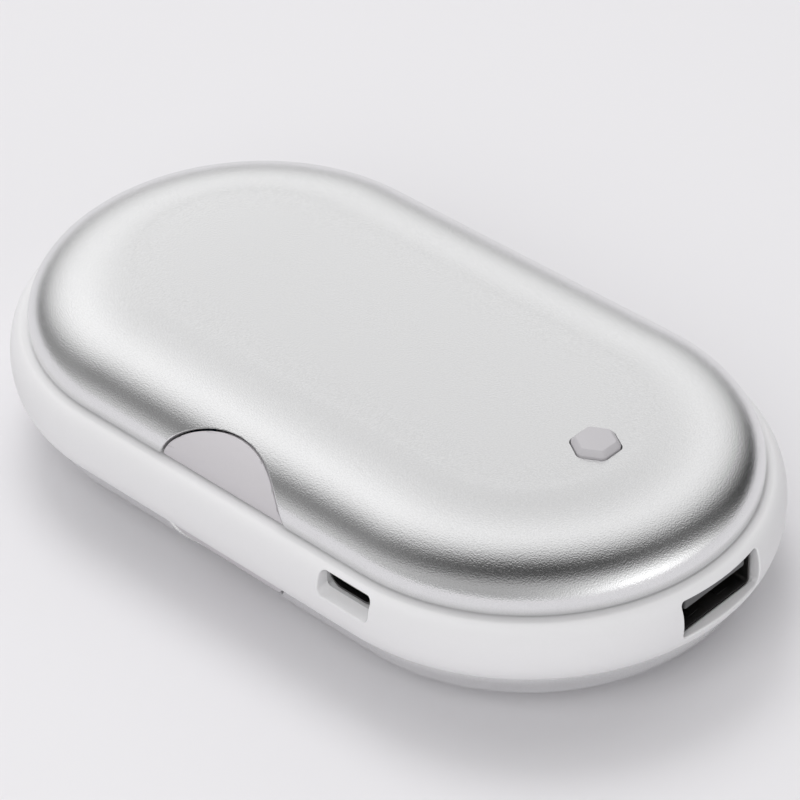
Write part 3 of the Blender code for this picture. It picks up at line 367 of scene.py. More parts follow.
wire_white = finish_of("white_wire", (0.62, 0.62, 0.60), (0.40, 0.50), size=1500.0, spread=0.05)
screw_metal = finish_of("screw_steel", (0.30, 0.30, 0.31), (0.25, 0.38), 1.0, 2000.0, 0.10)
print("finishes made:", len(bpy.data.materials))

# %% [markdown]
# ## The shells
#
# Each shell is a thin dish: a short upright skirt at the seam, a long shoulder and a nearly flat middle. The
# outline of its cross section is carried round the stadium. The middle is crowned by a hair, because a pressed
# sheet is never truly flat, and that slight crown is what makes the light slide across it.

# %% The cross section of a shell
shoulder_steps = 44
shoulder_rise = total - seam - frame_gap - skirt
crown = 0.00014
skirt_edge = 0.00008
rim_gap = 0.00024
dome_base = total - shoulder_rise


def shoulder(inset, lower=0.0):
    points = []
    for step in range(shoulder_steps + 1):
        turn = math.pi / 2 * step / shoulder_steps
        radius = shell_radius - inset - (shoulder_reach - inset) * (1 - math.cos(turn))
        height = dome_base + (shoulder_rise - inset - lower) * math.sin(turn)
        points.append((radius, height))
    return points


def crowned(edge_radius, level, steps=12):
    """From the end of the shoulder to the middle, rising by the crown in a smooth curve."""
    points = []
    for step in range(1, steps + 1):
        share = 1 - step / steps
        points.append((edge_radius * share, level + crown * (1 - share ** 2)))
    return points


def shell_section():
    rim = seam + rim_gap
    outer = shoulder(0, crown) + crowned(shell_radius - shoulder_reach, total - crown)
    inner = shoulder(shell_wall, crown) + crowned(shell_radius - shoulder_reach, total - shell_wall - crown)
    edge = [(shell_radius - shell_wall, rim), (shell_radius - skirt_edge * 2, rim),
            (shell_radius - skirt_edge * 0.6, rim + skirt_edge * 0.35), (shell_radius, rim + skirt_edge)]
    return inner[::-1] + edge + outer


print("points in the shell's section:", len(shell_section()))

# %% [markdown]
# ## The half-moon and the button hole
#
# The half-moon is where a slanted round cutter meets the dome: a circle on the slant becomes a half-moon on the
# shoulder, and the seam cuts it off below. The button hole is a six-sided opening with softened corners. Both
# openings get a bright broken edge.

# %% The window's slanted plane
window_tilt = math.radians(33)
window_radius = 0.0119
window_drop = 0.0047
window_chamfer = 0.00018
cutter_reach = 0.012


def window_matrix(upward, outward):
    y = -shell_radius + upward * math.sin(window_tilt) - outward * math.cos(window_tilt)
    z = seam + upward * math.cos(window_tilt) + outward * math.sin(window_tilt)
    return Matrix.Translation((0, y, z)) @ Matrix.Rotation(math.pi / 2 - window_tilt, 4, "X")


def window_cylinder(radius, inner, outer, sides=128):
    shape = bmesh.new()
    bmesh.ops.create_cone(shape, cap_ends=True, segments=sides, radius1=radius, radius2=radius,
                          depth=outer - inner, matrix=window_matrix(-window_drop, (inner + outer) / 2))
    return shape


# %% A six-sided prism with softened corners
button_x = (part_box("power_button")[0].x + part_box("power_button")[1].x) / 2
button_corner = 0.0032
corner_softness = 0.0005


def six_sided(corner, low, high, softness, sides_soft=6):
    shape = bmesh.new()
    place = Matrix.Translation((button_x, 0, (low + high) / 2))
    bmesh.ops.create_cone(shape, cap_ends=True, segments=6, radius1=corner, radius2=corner, depth=high - low,
                          matrix=place)
    bmesh.ops.bevel(shape, geom=along(shape, 2), offset=softness, offset_type="OFFSET", affect="EDGES",
                    segments=sides_soft, profile=0.5, material=-1)
    return shape


print(f"button at x {button_x:.4f}, {button_corner * 2:.4f} across its corners")

# %% [markdown]
# A carved surface has long thin faces round its openings, and normals averaged over those would show as smudges
# in the metal. The dome's true normal is known at every place, because its cross section is an ellipse. So it
# is written to the mesh as custom normals, on every face that lies wholly on the skin.

# %% True normals for a carved skin


def away_from_spine(place):
    """The vector from the nearest point of the outline's straight spine, level with the place."""
    along_spine = max(min(place.x, cap_centre), -cap_centre)
    return Vector((place.x - along_spine, place.y, 0))


def dome_normal(place, inset, side=1):
    out = away_from_spine(place)
    level = total - place.z if side < 0 else place.z
    radius = out.length
    across, up = shoulder_reach - inset, shoulder_rise - inset - crown
    flat = shell_radius - shoulder_reach
    out.normalize()
    if level <= dome_base:
        return out
    if radius < flat:
        slope = 2 * crown * radius / flat ** 2
        return Vector((out.x * slope, out.y * slope, side)).normalized()
    share = min((radius - flat) / across, 1)
    height = math.sqrt(1 - share ** 2) / up
    return Vector((out.x * share / across, out.y * share / across, side * height)).normalized()


def on_dome(place, inset, side=1, slack=0.00002):
    out = away_from_spine(place).length
    level = total - place.z if side < 0 else place.z
    across, up = shoulder_reach - inset, shoulder_rise - inset - crown
    flat = shell_radius - shoulder_reach
    if level <= dome_base:
        return abs(out - shell_radius + inset) < slack
    if out < flat:
        return level > total - inset - crown - slack
    share = math.hypot((out - flat) / across, (level - dome_base) / up)
    return abs(share - 1) * up < slack


def true_normals(piece, on_skin, normal_at):
    mesh = piece.data
    normals = [corner.vector.copy() for corner in mesh.corner_normals]
    count = 0
    for face in mesh.polygons:
        places = [mesh.vertices[number].co for number in face.vertices]
        if all(on_skin(place) for place in places):
            for corner, place in zip(face.loop_indices, places):
                wanted = normal_at(place)
                if wanted.dot(face.normal) > 0:
                    normals[corner] = wanted
            count += 1
    mesh.normals_split_custom_set(normals)
    return count


# %% Make both shells


def make_shell(upper):
    shape = carry_round(shell_section(), False)
    shape = carve(shape, window_cylinder(window_radius, -shell_wall * 4, cutter_reach))
    rounded = round_edges(shape, window_chamfer, 2, near_window_edge)
    if upper:
        low, high = total - shell_wall * 2, total + shell_wall
        shape = carve(shape, six_sided(button_corner + hole_room, low, high, corner_softness))
        rounded += round_edges(shape, hole_chamfer, 2, near_button_edge)
    else:
        flip(shape)
    name = "shell_top" if upper else "shell_bottom"
    node = "top_shell" if upper else "bottom_shell"
    piece = finish_piece(name, shape, "housing", aluminium, [node], 28)
    side = 1 if upper else -1
    count = true_normals(piece, lambda place: on_dome(place, 0, side), lambda place: dome_normal(place, 0, side))
    print(name, "faces", len(piece.data.polygons), "on the skin", count, "edges rounded", rounded)
    return piece


hole_room = 0.00018
hole_chamfer = 0.00006
inverse_window = window_matrix(-window_drop, 0).inverted()


def near_window_edge(edge):
    """True for the outer edge of the opening: on the cutter's wall and on the outer skin."""
    for vert in edge.verts:
        place = inverse_window @ vert.co
        if abs(math.hypot(place.x, place.y) - window_radius) > 0.00004:
            return False
    return all(outer_skin(vert.co) for vert in edge.verts)


def outer_skin(place):
    """True where a point is nearer the outer skin than the inner one."""
    along_x = max(abs(place.x) - cap_centre, 0)
    radius = math.hypot(along_x, place.y)
    if radius < shell_radius - shoulder_reach:
        return place.z > total - shell_wall * 0.5
    out = (radius - (shell_radius - shoulder_reach)) / shoulder_reach
    up = (place.z - dome_base) / shoulder_rise
    return place.z <= dome_base or math.hypot(out, up) > 0.985


def near_button_edge(edge):
    return all(vert.co.z > total - shell_wall * 0.5 and
               math.hypot(vert.co.x - button_x, vert.co.y) < button_corner * 1.15 for vert in edge.verts)


make_shell(True)
make_shell(False)

# %% [markdown]
# ## The half-moon windows
#
# Behind each opening lies a half-moon of frosted plastic. It follows the same dome as the shell and lies a
# hair below its skin, so it is made from the same cross section, set in a little, and kept only inside a cutter
# that is a little smaller than the opening. The dark line between plastic and metal is that difference.

# %% Make both windows
window_room = 0.00026
window_sink = 0.00022
window_thick = 0.0012
window_edge = 0.00010


def dome_sheet(outer, thick):
    """The shell's cross section, set in from its skin, with its own thickness."""
    inner = outer + thick
    flat = shell_radius - shoulder_reach
    over = shoulder(outer, crown) + crowned(flat, total - outer - crown)
    under = shoulder(inner, crown) + crowned(flat, total - inner - crown)
    rim = [(shell_radius - inner, seam + frame_gap), (shell_radius - outer, seam + frame_gap)]
    return under[::-1] + rim + over


def near_front_rim(edge):
    """True for an edge at the outer face of the half-moon."""
    for vert in edge.verts:
        out = (vert.co.y + shell_radius - shoulder_reach) / -(shoulder_reach - window_sink)
        up = (vert.co.z - dome_base) / (shoulder_rise - window_sink)
        on_dome = math.hypot(max(out, 0), max(up, 0)) > 0.985
        if not (on_dome or vert.co.z < dome_base and vert.co.y < -shell_radius + window_sink * 1.5):
            return False
    return True


def make_window(upper):
    shape = carry_round(dome_sheet(window_sink, window_thick), False)
    shape = keep_inside(shape, window_cylinder(window_radius - window_room, -shell_wall * 3, cutter_reach))
    rounded = round_edges(shape, window_edge, 2, near_front_rim, 50)
    if not upper:
        flip(shape)
    name = "window_top" if upper else "window_bottom"
    node = "upper_light_window" if upper else "lower_light_window"
    piece = finish_piece(name, shape, "housing", window_grey, [node], 30)
    side = 1 if upper else -1
    count = true_normals(piece, lambda place: on_dome(place, window_sink, side),
                         lambda place: dome_normal(place, window_sink, side))
    print(name, "faces on the skin", count, "edges rounded", rounded)
    return piece


window_top = make_window(True)
make_window(False)
print("window box", [round(value, 5) for value in window_top.dimensions])

# %% [markdown]
# ## The band
#
# The band is a ring: outside it bulges in a half-round, inside it is flat, and a lip at its top and bottom finds
# the inside of each shell. The ports are cut through it. Their edges are rounded, as in any moulded part.

# %% The cross section of the band
band_steps = 28
band_inner = shell_radius - 0.0022
lip_wall = 0.0009
lip_high = 0.0012
band_half = (2 * seam - total) / 2
band_reach = band_bulge - band_edge


def band_section():
    bulge = []
    for step in range(band_steps + 1):
        turn = math.pi * (step / band_steps - 0.5)
        bulge.append((shell_radius + band_edge + band_reach * math.cos(turn),
                      middle + band_half * math.sin(turn)))
    lip = band_inner + lip_wall
    upper = [(shell_radius - skirt_edge * 3, seam), (lip, seam), (lip, seam + lip_high),
             (band_inner, seam + lip_high)]
    lower = [(radius, total - height) for radius, height in reversed(upper)]
    return bulge + upper + lower


# %% Where the ports are
outlet_low, outlet_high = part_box("usb_a_shell")
outlet_level = (outlet_low.z + outlet_high.z) / 2
outlet_face = outlet_high.x + frame_gap
outlet_size = (0.0139, 0.0052)
inlet_low, inlet_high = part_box("micro_usb_shell")
inlet_x = (inlet_low.x + inlet_high.x) / 2
inlet_face = inlet_low.y
inlet_height = 0.0025
inlet_base = inlet_high.z - inlet_height
print(f"outlet level {outlet_level:.4f}, face {outlet_face:.4f}; inlet x {inlet_x:.4f}, face {inlet_face:.4f}")

# %% [markdown]
# A port's mouth is rounded where it opens on the bulge. A bevel would fold over there, because the bulge's own
# faces are narrower than the rounding. So the cutter itself carries the rounding: its rings follow the bulge's
# formula at every point, and spread outwards in an arc before they leave the surface.

# %% The bulge as a formula


def bulge_radius(height):
    share = max(min((height - middle) / band_half, 1), -1)
    return shell_radius + band_edge + band_reach * math.sqrt(1 - share ** 2)


def under_outlet(across, height, depth):
    """A point at the outlet's end, a depth below the bulge."""
    return cap_centre + math.sqrt(bulge_radius(height) ** 2 - across ** 2) - depth, across, height


def under_inlet(across, height, depth):
    """The same on the long side."""
    return across, depth - bulge_radius(height), height


# %% Outlines and lofts


def soft_outline(centre, half_across, half_up, corner, steps=6, longest=0.0004):
    """A rounded rectangle in fine steps. Each row holds a point and the direction that leads outwards there."""
    rows = []
    for quarter in range(4):
        across = (half_across - corner) * (1 if quarter in (0, 3) else -1)
        up = (half_up - corner) * (1 if quarter in (0, 1) else -1)
        for step in range(steps + 1):
            turn = math.pi / 2 * (quarter + step / steps)
            way = Vector((math.cos(turn), math.sin(turn)))
            rows.append((Vector(centre) + Vector((across, up)) + way * corner, way))
    fine = []
    for (start, way), (end, _) in zip(rows, rows[1:] + rows[:1]):
        on_side = (end - start).length > corner
        pieces = round(half_across * 2 / longest) if on_side else 1
        fine += [(start.lerp(end, step / pieces), way) for step in range(pieces)]
    return fine


def loft(rings):
    """A closed solid through rings of points, with a flat face at each end."""
    shape = bmesh.new()
    rows = [[shape.verts.new(point) for point in ring] for ring in rings]
    for near, far in zip(rows, rows[1:]):
        for place in range(len(near)):
            after = (place + 1) % len(near)
            shape.faces.new((near[place], near[after], far[after], far[place]))
    shape.faces.new(rows[0][::-1])
    shape.faces.new(rows[-1])
    bmesh.ops.recalc_face_normals(shape, faces=shape.faces)
    return shape


def rounded_mouth(outline, under_surface, rounding, axis, far):
    """Rings from just inside the wall to clear of the bulge, the last one flat at the level called far."""
    last = math.radians(72)
    rings = []
    for step in range(mouth_steps + 1):
        turn = last * step / mouth_steps
        rings.append((rounding * (1 - math.cos(turn)), rounding * (1 - math.sin(turn))))
    overshoot = rounding * 0.7
    spread, depth = rings[-1]
    rings.append((spread + overshoot * math.sin(last), depth - overshoot * math.cos(last)))
    placed = [[under_surface(*(point + way * spread), depth) for point, way in outline]
              for spread, depth in rings]
    outer = [list(point) for point in placed[-1]]
    for point in outer:
        point[axis] = far
    return placed + [outer]


mouth_steps = 5

# %% The cutters for the ports
inlet_mouth = (0.0083, 0.0034)
inlet_mouth_level = seam - 0.0023
inlet_size = (inlet_high.x - inlet_low.x, inlet_height)
outlet_rounding = 0.00028
inlet_rounding = 0.00032
outlet_corner, seat_corner, funnel_corner = 0.0006, 0.0010, 0.0008


def outlet_cutters():
    outline = soft_outline((0, outlet_level), outlet_size[0] / 2, outlet_size[1] / 2, outlet_corner)
    inside = [(cap_centre, *point) for point, _ in outline]
    mouth = loft([inside] + rounded_mouth(outline, under_outlet, outlet_rounding, 0, shell_radius * 2))
    grow = frame_gap
    seat = soft_block((cap_centre, outlet_low.y - grow, outlet_low.z - grow),
                      (outlet_face, outlet_high.y + grow, outlet_high.z + grow), 0, seat_corner)
    return mouth, seat


def inlet_cutters():
    grow = frame_gap
    seat = block((inlet_low.x - grow, inlet_face - grow, inlet_base - grow),
                 (inlet_high.x + grow, inlet_high.y + grow, inlet_high.z + grow))
    outer = soft_outline((inlet_x, inlet_mouth_level), inlet_mouth[0] / 2, inlet_mouth[1] / 2,
                         funnel_corner)
    inner_level = (inlet_base + inlet_high.z) / 2
    wide = (inlet_size[0] + grow) / inlet_mouth[0]
    tall = (inlet_size[1] + grow) / inlet_mouth[1]
    inside = [(inlet_x + (point.x - inlet_x) * wide, inlet_face - grow / 2,
               inner_level + (point.y - inlet_mouth_level) * tall) for point, _ in outer]
    funnel = loft([inside] + rounded_mouth(outer, under_inlet, inlet_rounding, 1, -shell_radius * 2))
    return funnel, seat


# %% Make the band


def window_rooms():
    half = window_radius + 0.0015
    low = (-half, -shell_radius + lip_wall, seam - 0.0002)
    high = (half, -band_inner + frame_gap * 1.5 + lip_wall, total)
    upper = block(low, high)
    return upper, flip(block(low, high))


def on_bulge(place, slack=0.00003):
    return abs(away_from_spine(place).length - bulge_radius(place.z)) < slack


def bulge_normal(place):
    out = away_from_spine(place).normalized()
    share = max(min((place.z - middle) / band_half, 1), -1)
    across, up = math.sqrt(1 - share ** 2) / band_reach, share / band_half
    return Vector((out.x * across, out.y * across, up)).normalized()


def make_band():
    shape = carry_round(band_section(), True)
    for room in window_rooms():
        shape = carve(shape, room)
    for cutter in (*outlet_cutters(), *inlet_cutters()):
        shape = carve(shape, cutter)
    piece = finish_piece("band", shape, "housing", band_white, ["mid_frame"], 28)
    count = true_normals(piece, on_bulge, bulge_normal)
    print("faces on the band's bulge", count)
    return piece


band = make_band()
print("faces on the band", len(band.data.polygons))

# %% [markdown]
# ## The button
#
# One small moulding does three jobs: the six-sided cap that a finger presses, a round collar that stops it from
# falling out through the hole, and a stem that reaches the switch. Only the cap's top is seen, so its rim gets
# the finest rounding. It rides on its own body, because it travels.

# %% Make the button
collar_radius = 0.0042
stem_radius = 0.0016
collar_thick = 0.0008
facet_wide, facet_high = 0.00060, 0.00070
cap_edge = 0.00006
turned_edge = 0.0001


def turned_solid(radius, low, high, sides=64):
    shape = bmesh.new()
    bmesh.ops.create_cone(shape, cap_ends=True, segments=sides, radius1=radius, radius2=radius, depth=high - low,
                          matrix=Matrix.Translation((button_x, 0, (low + high) / 2)))
    return shape


def merged(*shapes):
    """Several solids in one bmesh, for a moulding whose parts run into each other."""
    whole = bmesh.new()
    for shape in shapes:
        mesh = bpy.data.meshes.new("work")
        shape.to_mesh(mesh)
        shape.free()
        whole.from_mesh(mesh)
        bpy.data.meshes.remove(mesh)
    return whole


def make_button():
    low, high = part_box("power_button")
    collar_top = total - shell_wall - frame_gap
    cap = six_sided(button_corner, collar_top - collar_thick / 2, high.z - facet_high, corner_softness, 8)
    top = [face for face in cap.faces if face.normal.z > 0.9]
    bmesh.ops.inset_region(cap, faces=top, thickness=facet_wide, depth=facet_high)
    rim = [edge for edge in cap.edges if all(vert.co.z > high.z - facet_high * 1.1 for vert in edge.verts)
           and edge.calc_face_angle() > 0.2]
    bmesh.ops.bevel(cap, geom=rim, offset=cap_edge, offset_type="OFFSET", affect="EDGES", segments=2,
                    profile=0.5, material=-1, clamp_overlap=False)
    collar = turned_solid(collar_radius, collar_top - collar_thick, collar_top)
    round_edges(collar, turned_edge, 2, lambda edge: True)
    stem = turned_solid(stem_radius, low.z, collar_top - collar_thick / 2, 48)
    round_edges(stem, turned_edge, 2, lambda edge: True)
    shape = merged(cap, collar, stem)
    return finish_piece("button_cap", shape, "button", button_grey, ["power_button"], 35)


button = make_button()
print("button box", [round(value, 5) for value in button.dimensions])

# %% [markdown]
# ## The power outlet
#
# The socket is a bent steel box with rounded corners. Springs are pressed out of its top and floor to grip a
# plug. Inside, a dark plastic tongue carries the four contacts on its underside.

# %% A drawn steel box, open at its front
steel_wall = 0.0003


def drawn_socket(low, high, axis, front, radius):
    """A box with rounded corners along one axis, hollow, and open on the side named by front."""
    outer = soft_block(low, high, axis, radius)
    inner_low, inner_high = Vector(low), Vector(high)
    for other in {0, 1, 2} - {axis}:
        inner_low[other] += steel_wall
        inner_high[other] -= steel_wall
    if front > 0:
        inner_low[axis] += steel_wall
        inner_high[axis] += steel_wall
    else:
        inner_high[axis] -= steel_wall
        inner_low[axis] -= steel_wall
    shape = carve(outer, soft_block(inner_low, inner_high, axis, radius - steel_wall * 0.8))
    level = high[axis] if front > 0 else low[axis]
    mouth = 0.00001

    def at_mouth(edge):
        return all(abs(vert.co[axis] - level) < mouth for vert in edge.verts)
    round_edges(shape, steel_wall * 0.3, 2, at_mouth)
    return shape


def spring(centre, across, length, level, way):
    """A leaf spring: a shallow wedge that stands out of a wall into the socket."""
    shape = bmesh.new()
    points = [(centre[0] - length / 2, level), (centre[0], level + way * 0.00045),
              (centre[0] + length / 2, level + way * 0.0001), (centre[0] + length / 2, level)]
    corners = [shape.verts.new((x, centre[1] - across / 2, z)) for x, z in points]
    face = shape.faces.new(corners)
    side = bmesh.ops.extrude_face_region(shape, geom=[face])["geom"]
    moved = [part for part in side if isinstance(part, bmesh.types.BMVert)]
    bmesh.ops.translate(shape, vec=(0, across, 0), verts=moved)
    return shape


# %% Make the outlet's shroud and tongue
outlet_block = 0.0044
tongue_wide, tongue_thick = 0.0111, 0.0018
shroud_corner = 0.0007
leaf_wide, leaf_long = 0.0017, 0.0042
leaf_apart, leaf_back = 0.0027, 0.0032
block_edge, blade_edge = 0.0002, 0.0003


def make_outlet():
    shroud = drawn_socket(outlet_low, outlet_high, 0, 1, shroud_corner)
    leaf_x = outlet_high.x - leaf_back
    leaves = [spring((leaf_x, side * leaf_apart), leaf_wide, leaf_long, level, way)
              for side in (1, -1)
              for level, way in ((outlet_low.z + steel_wall, 1), (outlet_high.z - steel_wall, -1))]
    shape = merged(shroud, *leaves)
    finish_piece("outlet_shroud", shape, "housing", port_steel, ["usb_a_shell"], 30)
    low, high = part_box("usb_a_tongue")
    root = block(low, (low.x + outlet_block, high.y, high.z))
    round_edges(root, block_edge, 2, lambda edge: True)
    base = outlet_level + frame_gap
    blade = block((low.x + outlet_block / 2, -tongue_wide / 2, base),
                  (high.x, tongue_wide / 2, base + tongue_thick))
    round_edges(blade, blade_edge, 3,
                lambda edge: max(vert.co.x for vert in edge.verts) > high.x - turned_edge)
    shape = merged(root, blade)
    return finish_piece("outlet_tongue", shape, "housing", port_black, ["usb_a_tongue"], 30)


outlet_tongue = make_outlet()
print("outlet tongue box", [round(value, 5) for value in outlet_tongue.dimensions])

# %% [markdown]
# ## The charging inlet
#
# The inlet is a much smaller steel mouth, wide above and narrowed at both lower corners, so that the plug only
# goes in one way up. Its rim flares outwards a little. A thin tongue stands in the middle of it.

# %% Make the inlet's shroud and tongue
inlet_chamfer = (0.0012, 0.0010)
inlet_corner = 0.00035
inlet_leg = 0.0012
inlet_root = 0.0012
inlet_blade_wide, inlet_blade_thick = 0.0036, 0.0006
inlet_blade_edge = 0.00012


def inlet_outline(grow):
    half, high = inlet_size[0] / 2 + grow, inlet_size[1] + grow
    across, up = inlet_chamfer
    right = [(half - across - grow * 0.4, -grow), (half, up), (half, high)]
    return right + [(-x, z) for x, z in reversed(right)]


def prism(outline, front, back):
    """A solid with a flat outline, drawn out along Y."""
    shape = bmesh.new()
    corners = [shape.verts.new((inlet_x + x, front, inlet_base + z)) for x, z in outline]
    face = shape.faces.new(corners)
    moved = [part for part in bmesh.ops.extrude_face_region(shape, geom=[face])["geom"]
             if isinstance(part, bmesh.types.BMVert)]
    bmesh.ops.translate(shape, vec=(0, back - front, 0), verts=moved)
    bmesh.ops.recalc_face_normals(shape, faces=shape.faces)
    bmesh.ops.bevel(shape, geom=along(shape, 1), offset=inlet_corner, offset_type="OFFSET", affect="EDGES",
                    segments=4, profile=0.5, material=-1)
    return shape


def make_inlet():
    outer = prism(inlet_outline(0), inlet_face, inlet_high.y)
    inner = prism(inlet_outline(-steel_wall), inlet_face - steel_wall, inlet_high.y - steel_wall)
    shape = carve(outer, inner)
    round_edges(shape, steel_wall * 0.3, 2,
                lambda edge: all(abs(vert.co.y - inlet_face) < 0.00001 for vert in edge.verts))
    legs = []
    for side in (-1, 1):
        leg_x = inlet_x + side * (inlet_size[0] - steel_wall) / 2
        legs.append(block((leg_x - steel_wall / 2, inlet_high.y - inlet_leg, inlet_low.z),
                          (leg_x + steel_wall / 2, inlet_high.y, inlet_base + inlet_leg)))
    shape = merged(shape, *legs)
    finish_piece("inlet_shroud", shape, "housing", port_steel, ["micro_usb_shell"], 30)
    low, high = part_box("micro_usb_tongue")
    root = block((low.x, high.y - inlet_root, low.z), high)
    base = inlet_base + inlet_size[1] / 2
    half = inlet_blade_wide / 2
    blade = block((inlet_x - half, low.y, base),
                  (inlet_x + half, high.y - inlet_root / 2, base + inlet_blade_thick))
    round_edges(blade, inlet_blade_edge, 2,
                lambda edge: min(vert.co.y for vert in edge.verts) < low.y + turned_edge)
    shape = merged(root, blade)
    return finish_piece("inlet_tongue", shape, "housing", port_black, ["micro_usb_tongue"], 30)


inlet_tongue = make_inlet()
print("inlet tongue box", [round(value, 5) for value in inlet_tongue.dimensions])

# %% [markdown]
# ## The pieces inside
#
# The pieces inside are not seen in the picture, but whoever opens the object sees them, so each gets the finish
# of its real material. A table gives every carried-over piece its finish.

# %% Give the inner pieces their finishes
finish_table = {
    port_steel: ["battery_cap_left", "battery_cap_right", "nickel_strip_positive", "nickel_strip_negative"],
    contact_gold: ["usb_a_contacts", "micro_usb_contacts"],
    button_grey: ["tact_switch_plunger"],
    tray_grey: ["upper_carrier", "lower_carrier", "button_guide"],
    cell_blue: ["battery_cell_left", "battery_cell_right"],
    paper_buff: ["battery_insulator_left", "battery_insulator_right"],
    board_green: ["main_board", "upper_led_board", "lower_led_board"],
    chip_black: ["controller_chip", "protection_chip_1", "protection_chip_2", "protection_chip_3",
                 "tact_switch_body", "thermistor"],
    coil_grey: ["power_inductor"],
    can_metal: ["capacitor_1", "capacitor_2", "capacitor_3"],
    lamp_yellow: ["upper_led_bar", "lower_led_bar"],
    film_amber: ["upper_heater_film", "lower_heater_film"],
    foam_grey: ["upper_foam_pad", "lower_foam_pad"],
    glue_grey: ["upper_shell_seal", "lower_shell_seal"],
    wire_red: ["battery_lead_red"],
    wire_black: ["battery_lead_black"],
    wire_white: ["upper_heater_lead", "lower_heater_lead", "thermistor_lead"],
    screw_metal: ["carrier_screw_1", "carrier_screw_2", "carrier_screw_3", "carrier_screw_4", "board_screw_1",
                  "board_screw_2"],
}
for material, nodes in finish_table.items():
    for node in nodes:
        for place in bpy.data.objects[node].material_slots:
            place.material = material
print("inner pieces with a finish:", sum(len(nodes) for nodes in finish_table.values()))

# %% [markdown]
# ## The studio
#
# The floor is one wide, pale, matt sheet. The light is soft: a bright sky all round and overhead, with a darker
# patch above the camera. Blasted metal has hardly any colour of its own, so what it shows is this pattern of
# bright and dark, and the darker patch is what draws the long dark band along the near shoulder.

# %% The floor


def make_floor(reach=3.0):
    shape = bmesh.new()
    bmesh.ops.create_grid(shape, x_segments=1, y_segments=1, size=reach)
    mesh = bpy.data.meshes.new("floor")
    shape.to_mesh(mesh)
    shape.free()
    floor = bpy.data.objects.new("floor", mesh)
    bpy.context.scene.collection.objects.link(floor)
    material = bpy.data.materials.new("floor_sheet")
    material.use_nodes = True
    shader = material.node_tree.nodes["Principled BSDF"]
    shader.inputs["Base Color"].default_value = (0.79, 0.78, 0.80, 1)
    shader.inputs["Roughness"].default_value = 0.9
    shader.inputs["Specular IOR Level"].default_value = 0.1
    mesh.materials.append(material)
    return floor


floor = make_floor()

# %% The camera, at the angle of the picture
azimuth, elevation, roll = math.radians(44.65), math.radians(37.47), math.radians(-1.80)
target = Vector((0.00375, -0.00138, 0.0172))
distance = 0.4523
back = Vector((math.sin(azimuth) * math.cos(elevation), -math.cos(azimuth) * math.cos(elevation),
               math.sin(elevation)))
right = (-back).cross(Vector((0, 0, 1))).normalized()
upright = right.cross(-back)
right_turned = right * math.cos(roll) + upright * math.sin(roll)
up_turned = upright * math.cos(roll) - right * math.sin(roll)
lens = bpy.data.cameras.new("camera")
lens.lens = 161.7
lens.sensor_width = 36.0
lens.clip_end = 50.0
camera = bpy.data.objects.new("camera", lens)
bpy.context.scene.collection.objects.link(camera)
facing = Matrix((right_turned, up_turned, back)).transposed().to_4x4()
camera.matrix_world = Matrix.Translation(target + back * distance) @ facing
bpy.context.scene.camera = camera
print("camera stands at", [round(value, 4) for value in camera.location])

# %% The light from all round
bpy.context.scene.view_settings.view_transform = "Standard"
world = bpy.data.worlds.new("studio")
world.use_nodes = True
bpy.context.scene.world = world
sky = world.node_tree


def sky_math(operation, first, second=None, third=None):
    node = sky.nodes.new("ShaderNodeMath")
    node.operation = operation
    for place, value in enumerate((first, second, third)):
        if isinstance(value, bpy.types.NodeSocket):
            sky.links.new(value, node.inputs[place])
        elif value is not None:
            node.inputs[place].default_value = value
    return node.outputs[0]


def towards(azimuth_degrees, height_degrees):
    turn, rise = math.radians(azimuth_degrees), math.radians(height_degrees)
    return Vector((math.sin(turn) * math.cos(rise), -math.cos(turn) * math.cos(rise), math.sin(rise)))


def nearness(direction, aim):
    """How near a direction of the sky is to an aim: 1 at the aim itself, -1 behind it."""
    dot = sky.nodes.new("ShaderNodeVectorMath")
    dot.operation = "DOT_PRODUCT"
    sky.links.new(direction, dot.inputs[0])
    dot.inputs[1].default_value = aim
    return dot.outputs["Value"]


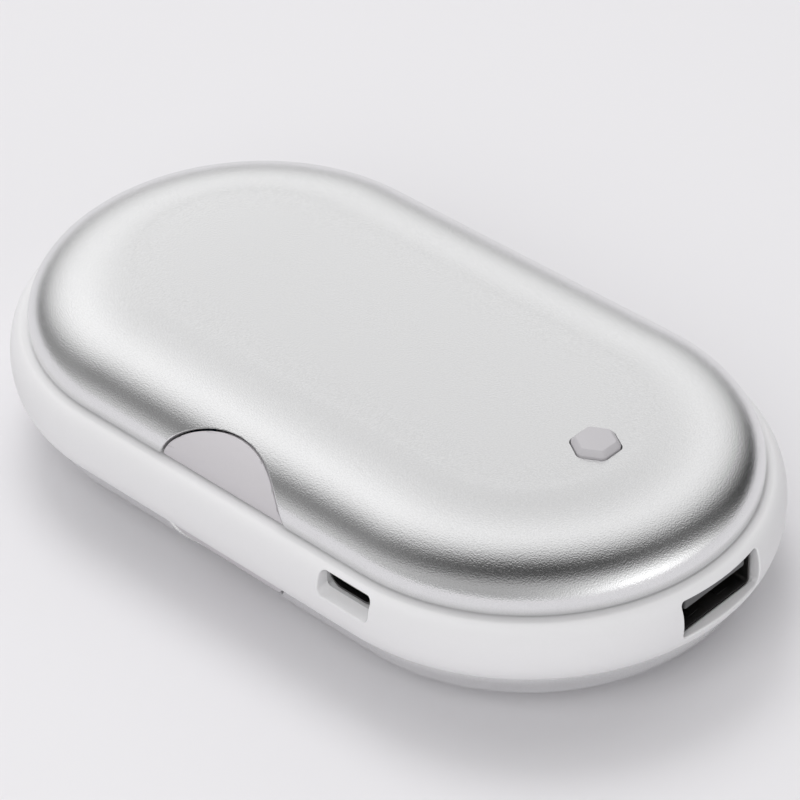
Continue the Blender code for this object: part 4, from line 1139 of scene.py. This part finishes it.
softbox_aim = towards(-136, 51)
softbox_steps = [(-1.0, 0.42), (-0.2, 0.42), (0.0, 0.40), (0.2, 0.14), (0.35, 0.02), (0.5, 0.02), (0.6, 0.24),
                 (0.7, 0.58), (0.8, 0.90), (0.9, 1.00), (1.0, 0.71)]
fill_aim = towards(95, -5)
fill_focus = 6.5
fill_level = 1.30
side_aim = towards(-62, 17)
side_focus = 3.0
side_level = 0.30


def light_the_sky():
    place = sky.nodes.new("ShaderNodeTexCoord").outputs["Generated"]
    share = sky_math("MULTIPLY_ADD", nearness(place, softbox_aim), 0.5, 0.5)
    ramp = sky.nodes.new("ShaderNodeValToRGB")
    ramp.color_ramp.interpolation = "LINEAR"
    stops = ramp.color_ramp.elements
    while len(stops) < len(softbox_steps):
        stops.new(0.5)
    for stop, (near, level) in zip(stops, softbox_steps):
        stop.position = (near + 1) / 2
        stop.color = (level, level, level, 1)
    sky.links.new(share, ramp.inputs["Fac"])
    level = ramp.outputs["Color"]
    for aim, focus, strength in ((fill_aim, fill_focus, fill_level), (side_aim, side_focus, side_level)):
        fall = sky_math("MULTIPLY_ADD", nearness(place, aim), focus, -focus)
        level = sky_math("MULTIPLY_ADD", sky_math("EXPONENT", fall), strength, level)
    sky.links.new(level, sky.nodes["Background"].inputs["Strength"])
    sky.nodes["Background"].inputs["Color"].default_value = (1.0, 1.0, 1.0, 1)


light_the_sky()

# %% The lamps: a key behind and above, and a fill beside the camera


def add_lamp(name, aim, distance, size, energy):
    data = bpy.data.lights.new(name, "AREA")
    data.shape = "DISK"
    data.size = size
    data.energy = energy
    lamp = bpy.data.objects.new(name, data)
    bpy.context.scene.collection.objects.link(lamp)
    lamp.matrix_world = Matrix.Translation(aim * distance) @ aim.to_track_quat("Z", "Y").to_matrix().to_4x4()
    lamp.visible_glossy = False
    return lamp


add_lamp("key_light", towards(-122, 62), 1.2, 0.6, 3.8)
add_lamp("fill_light", towards(22, 42), 1.4, 1.2, 8.6)
print("lights and camera are in place")
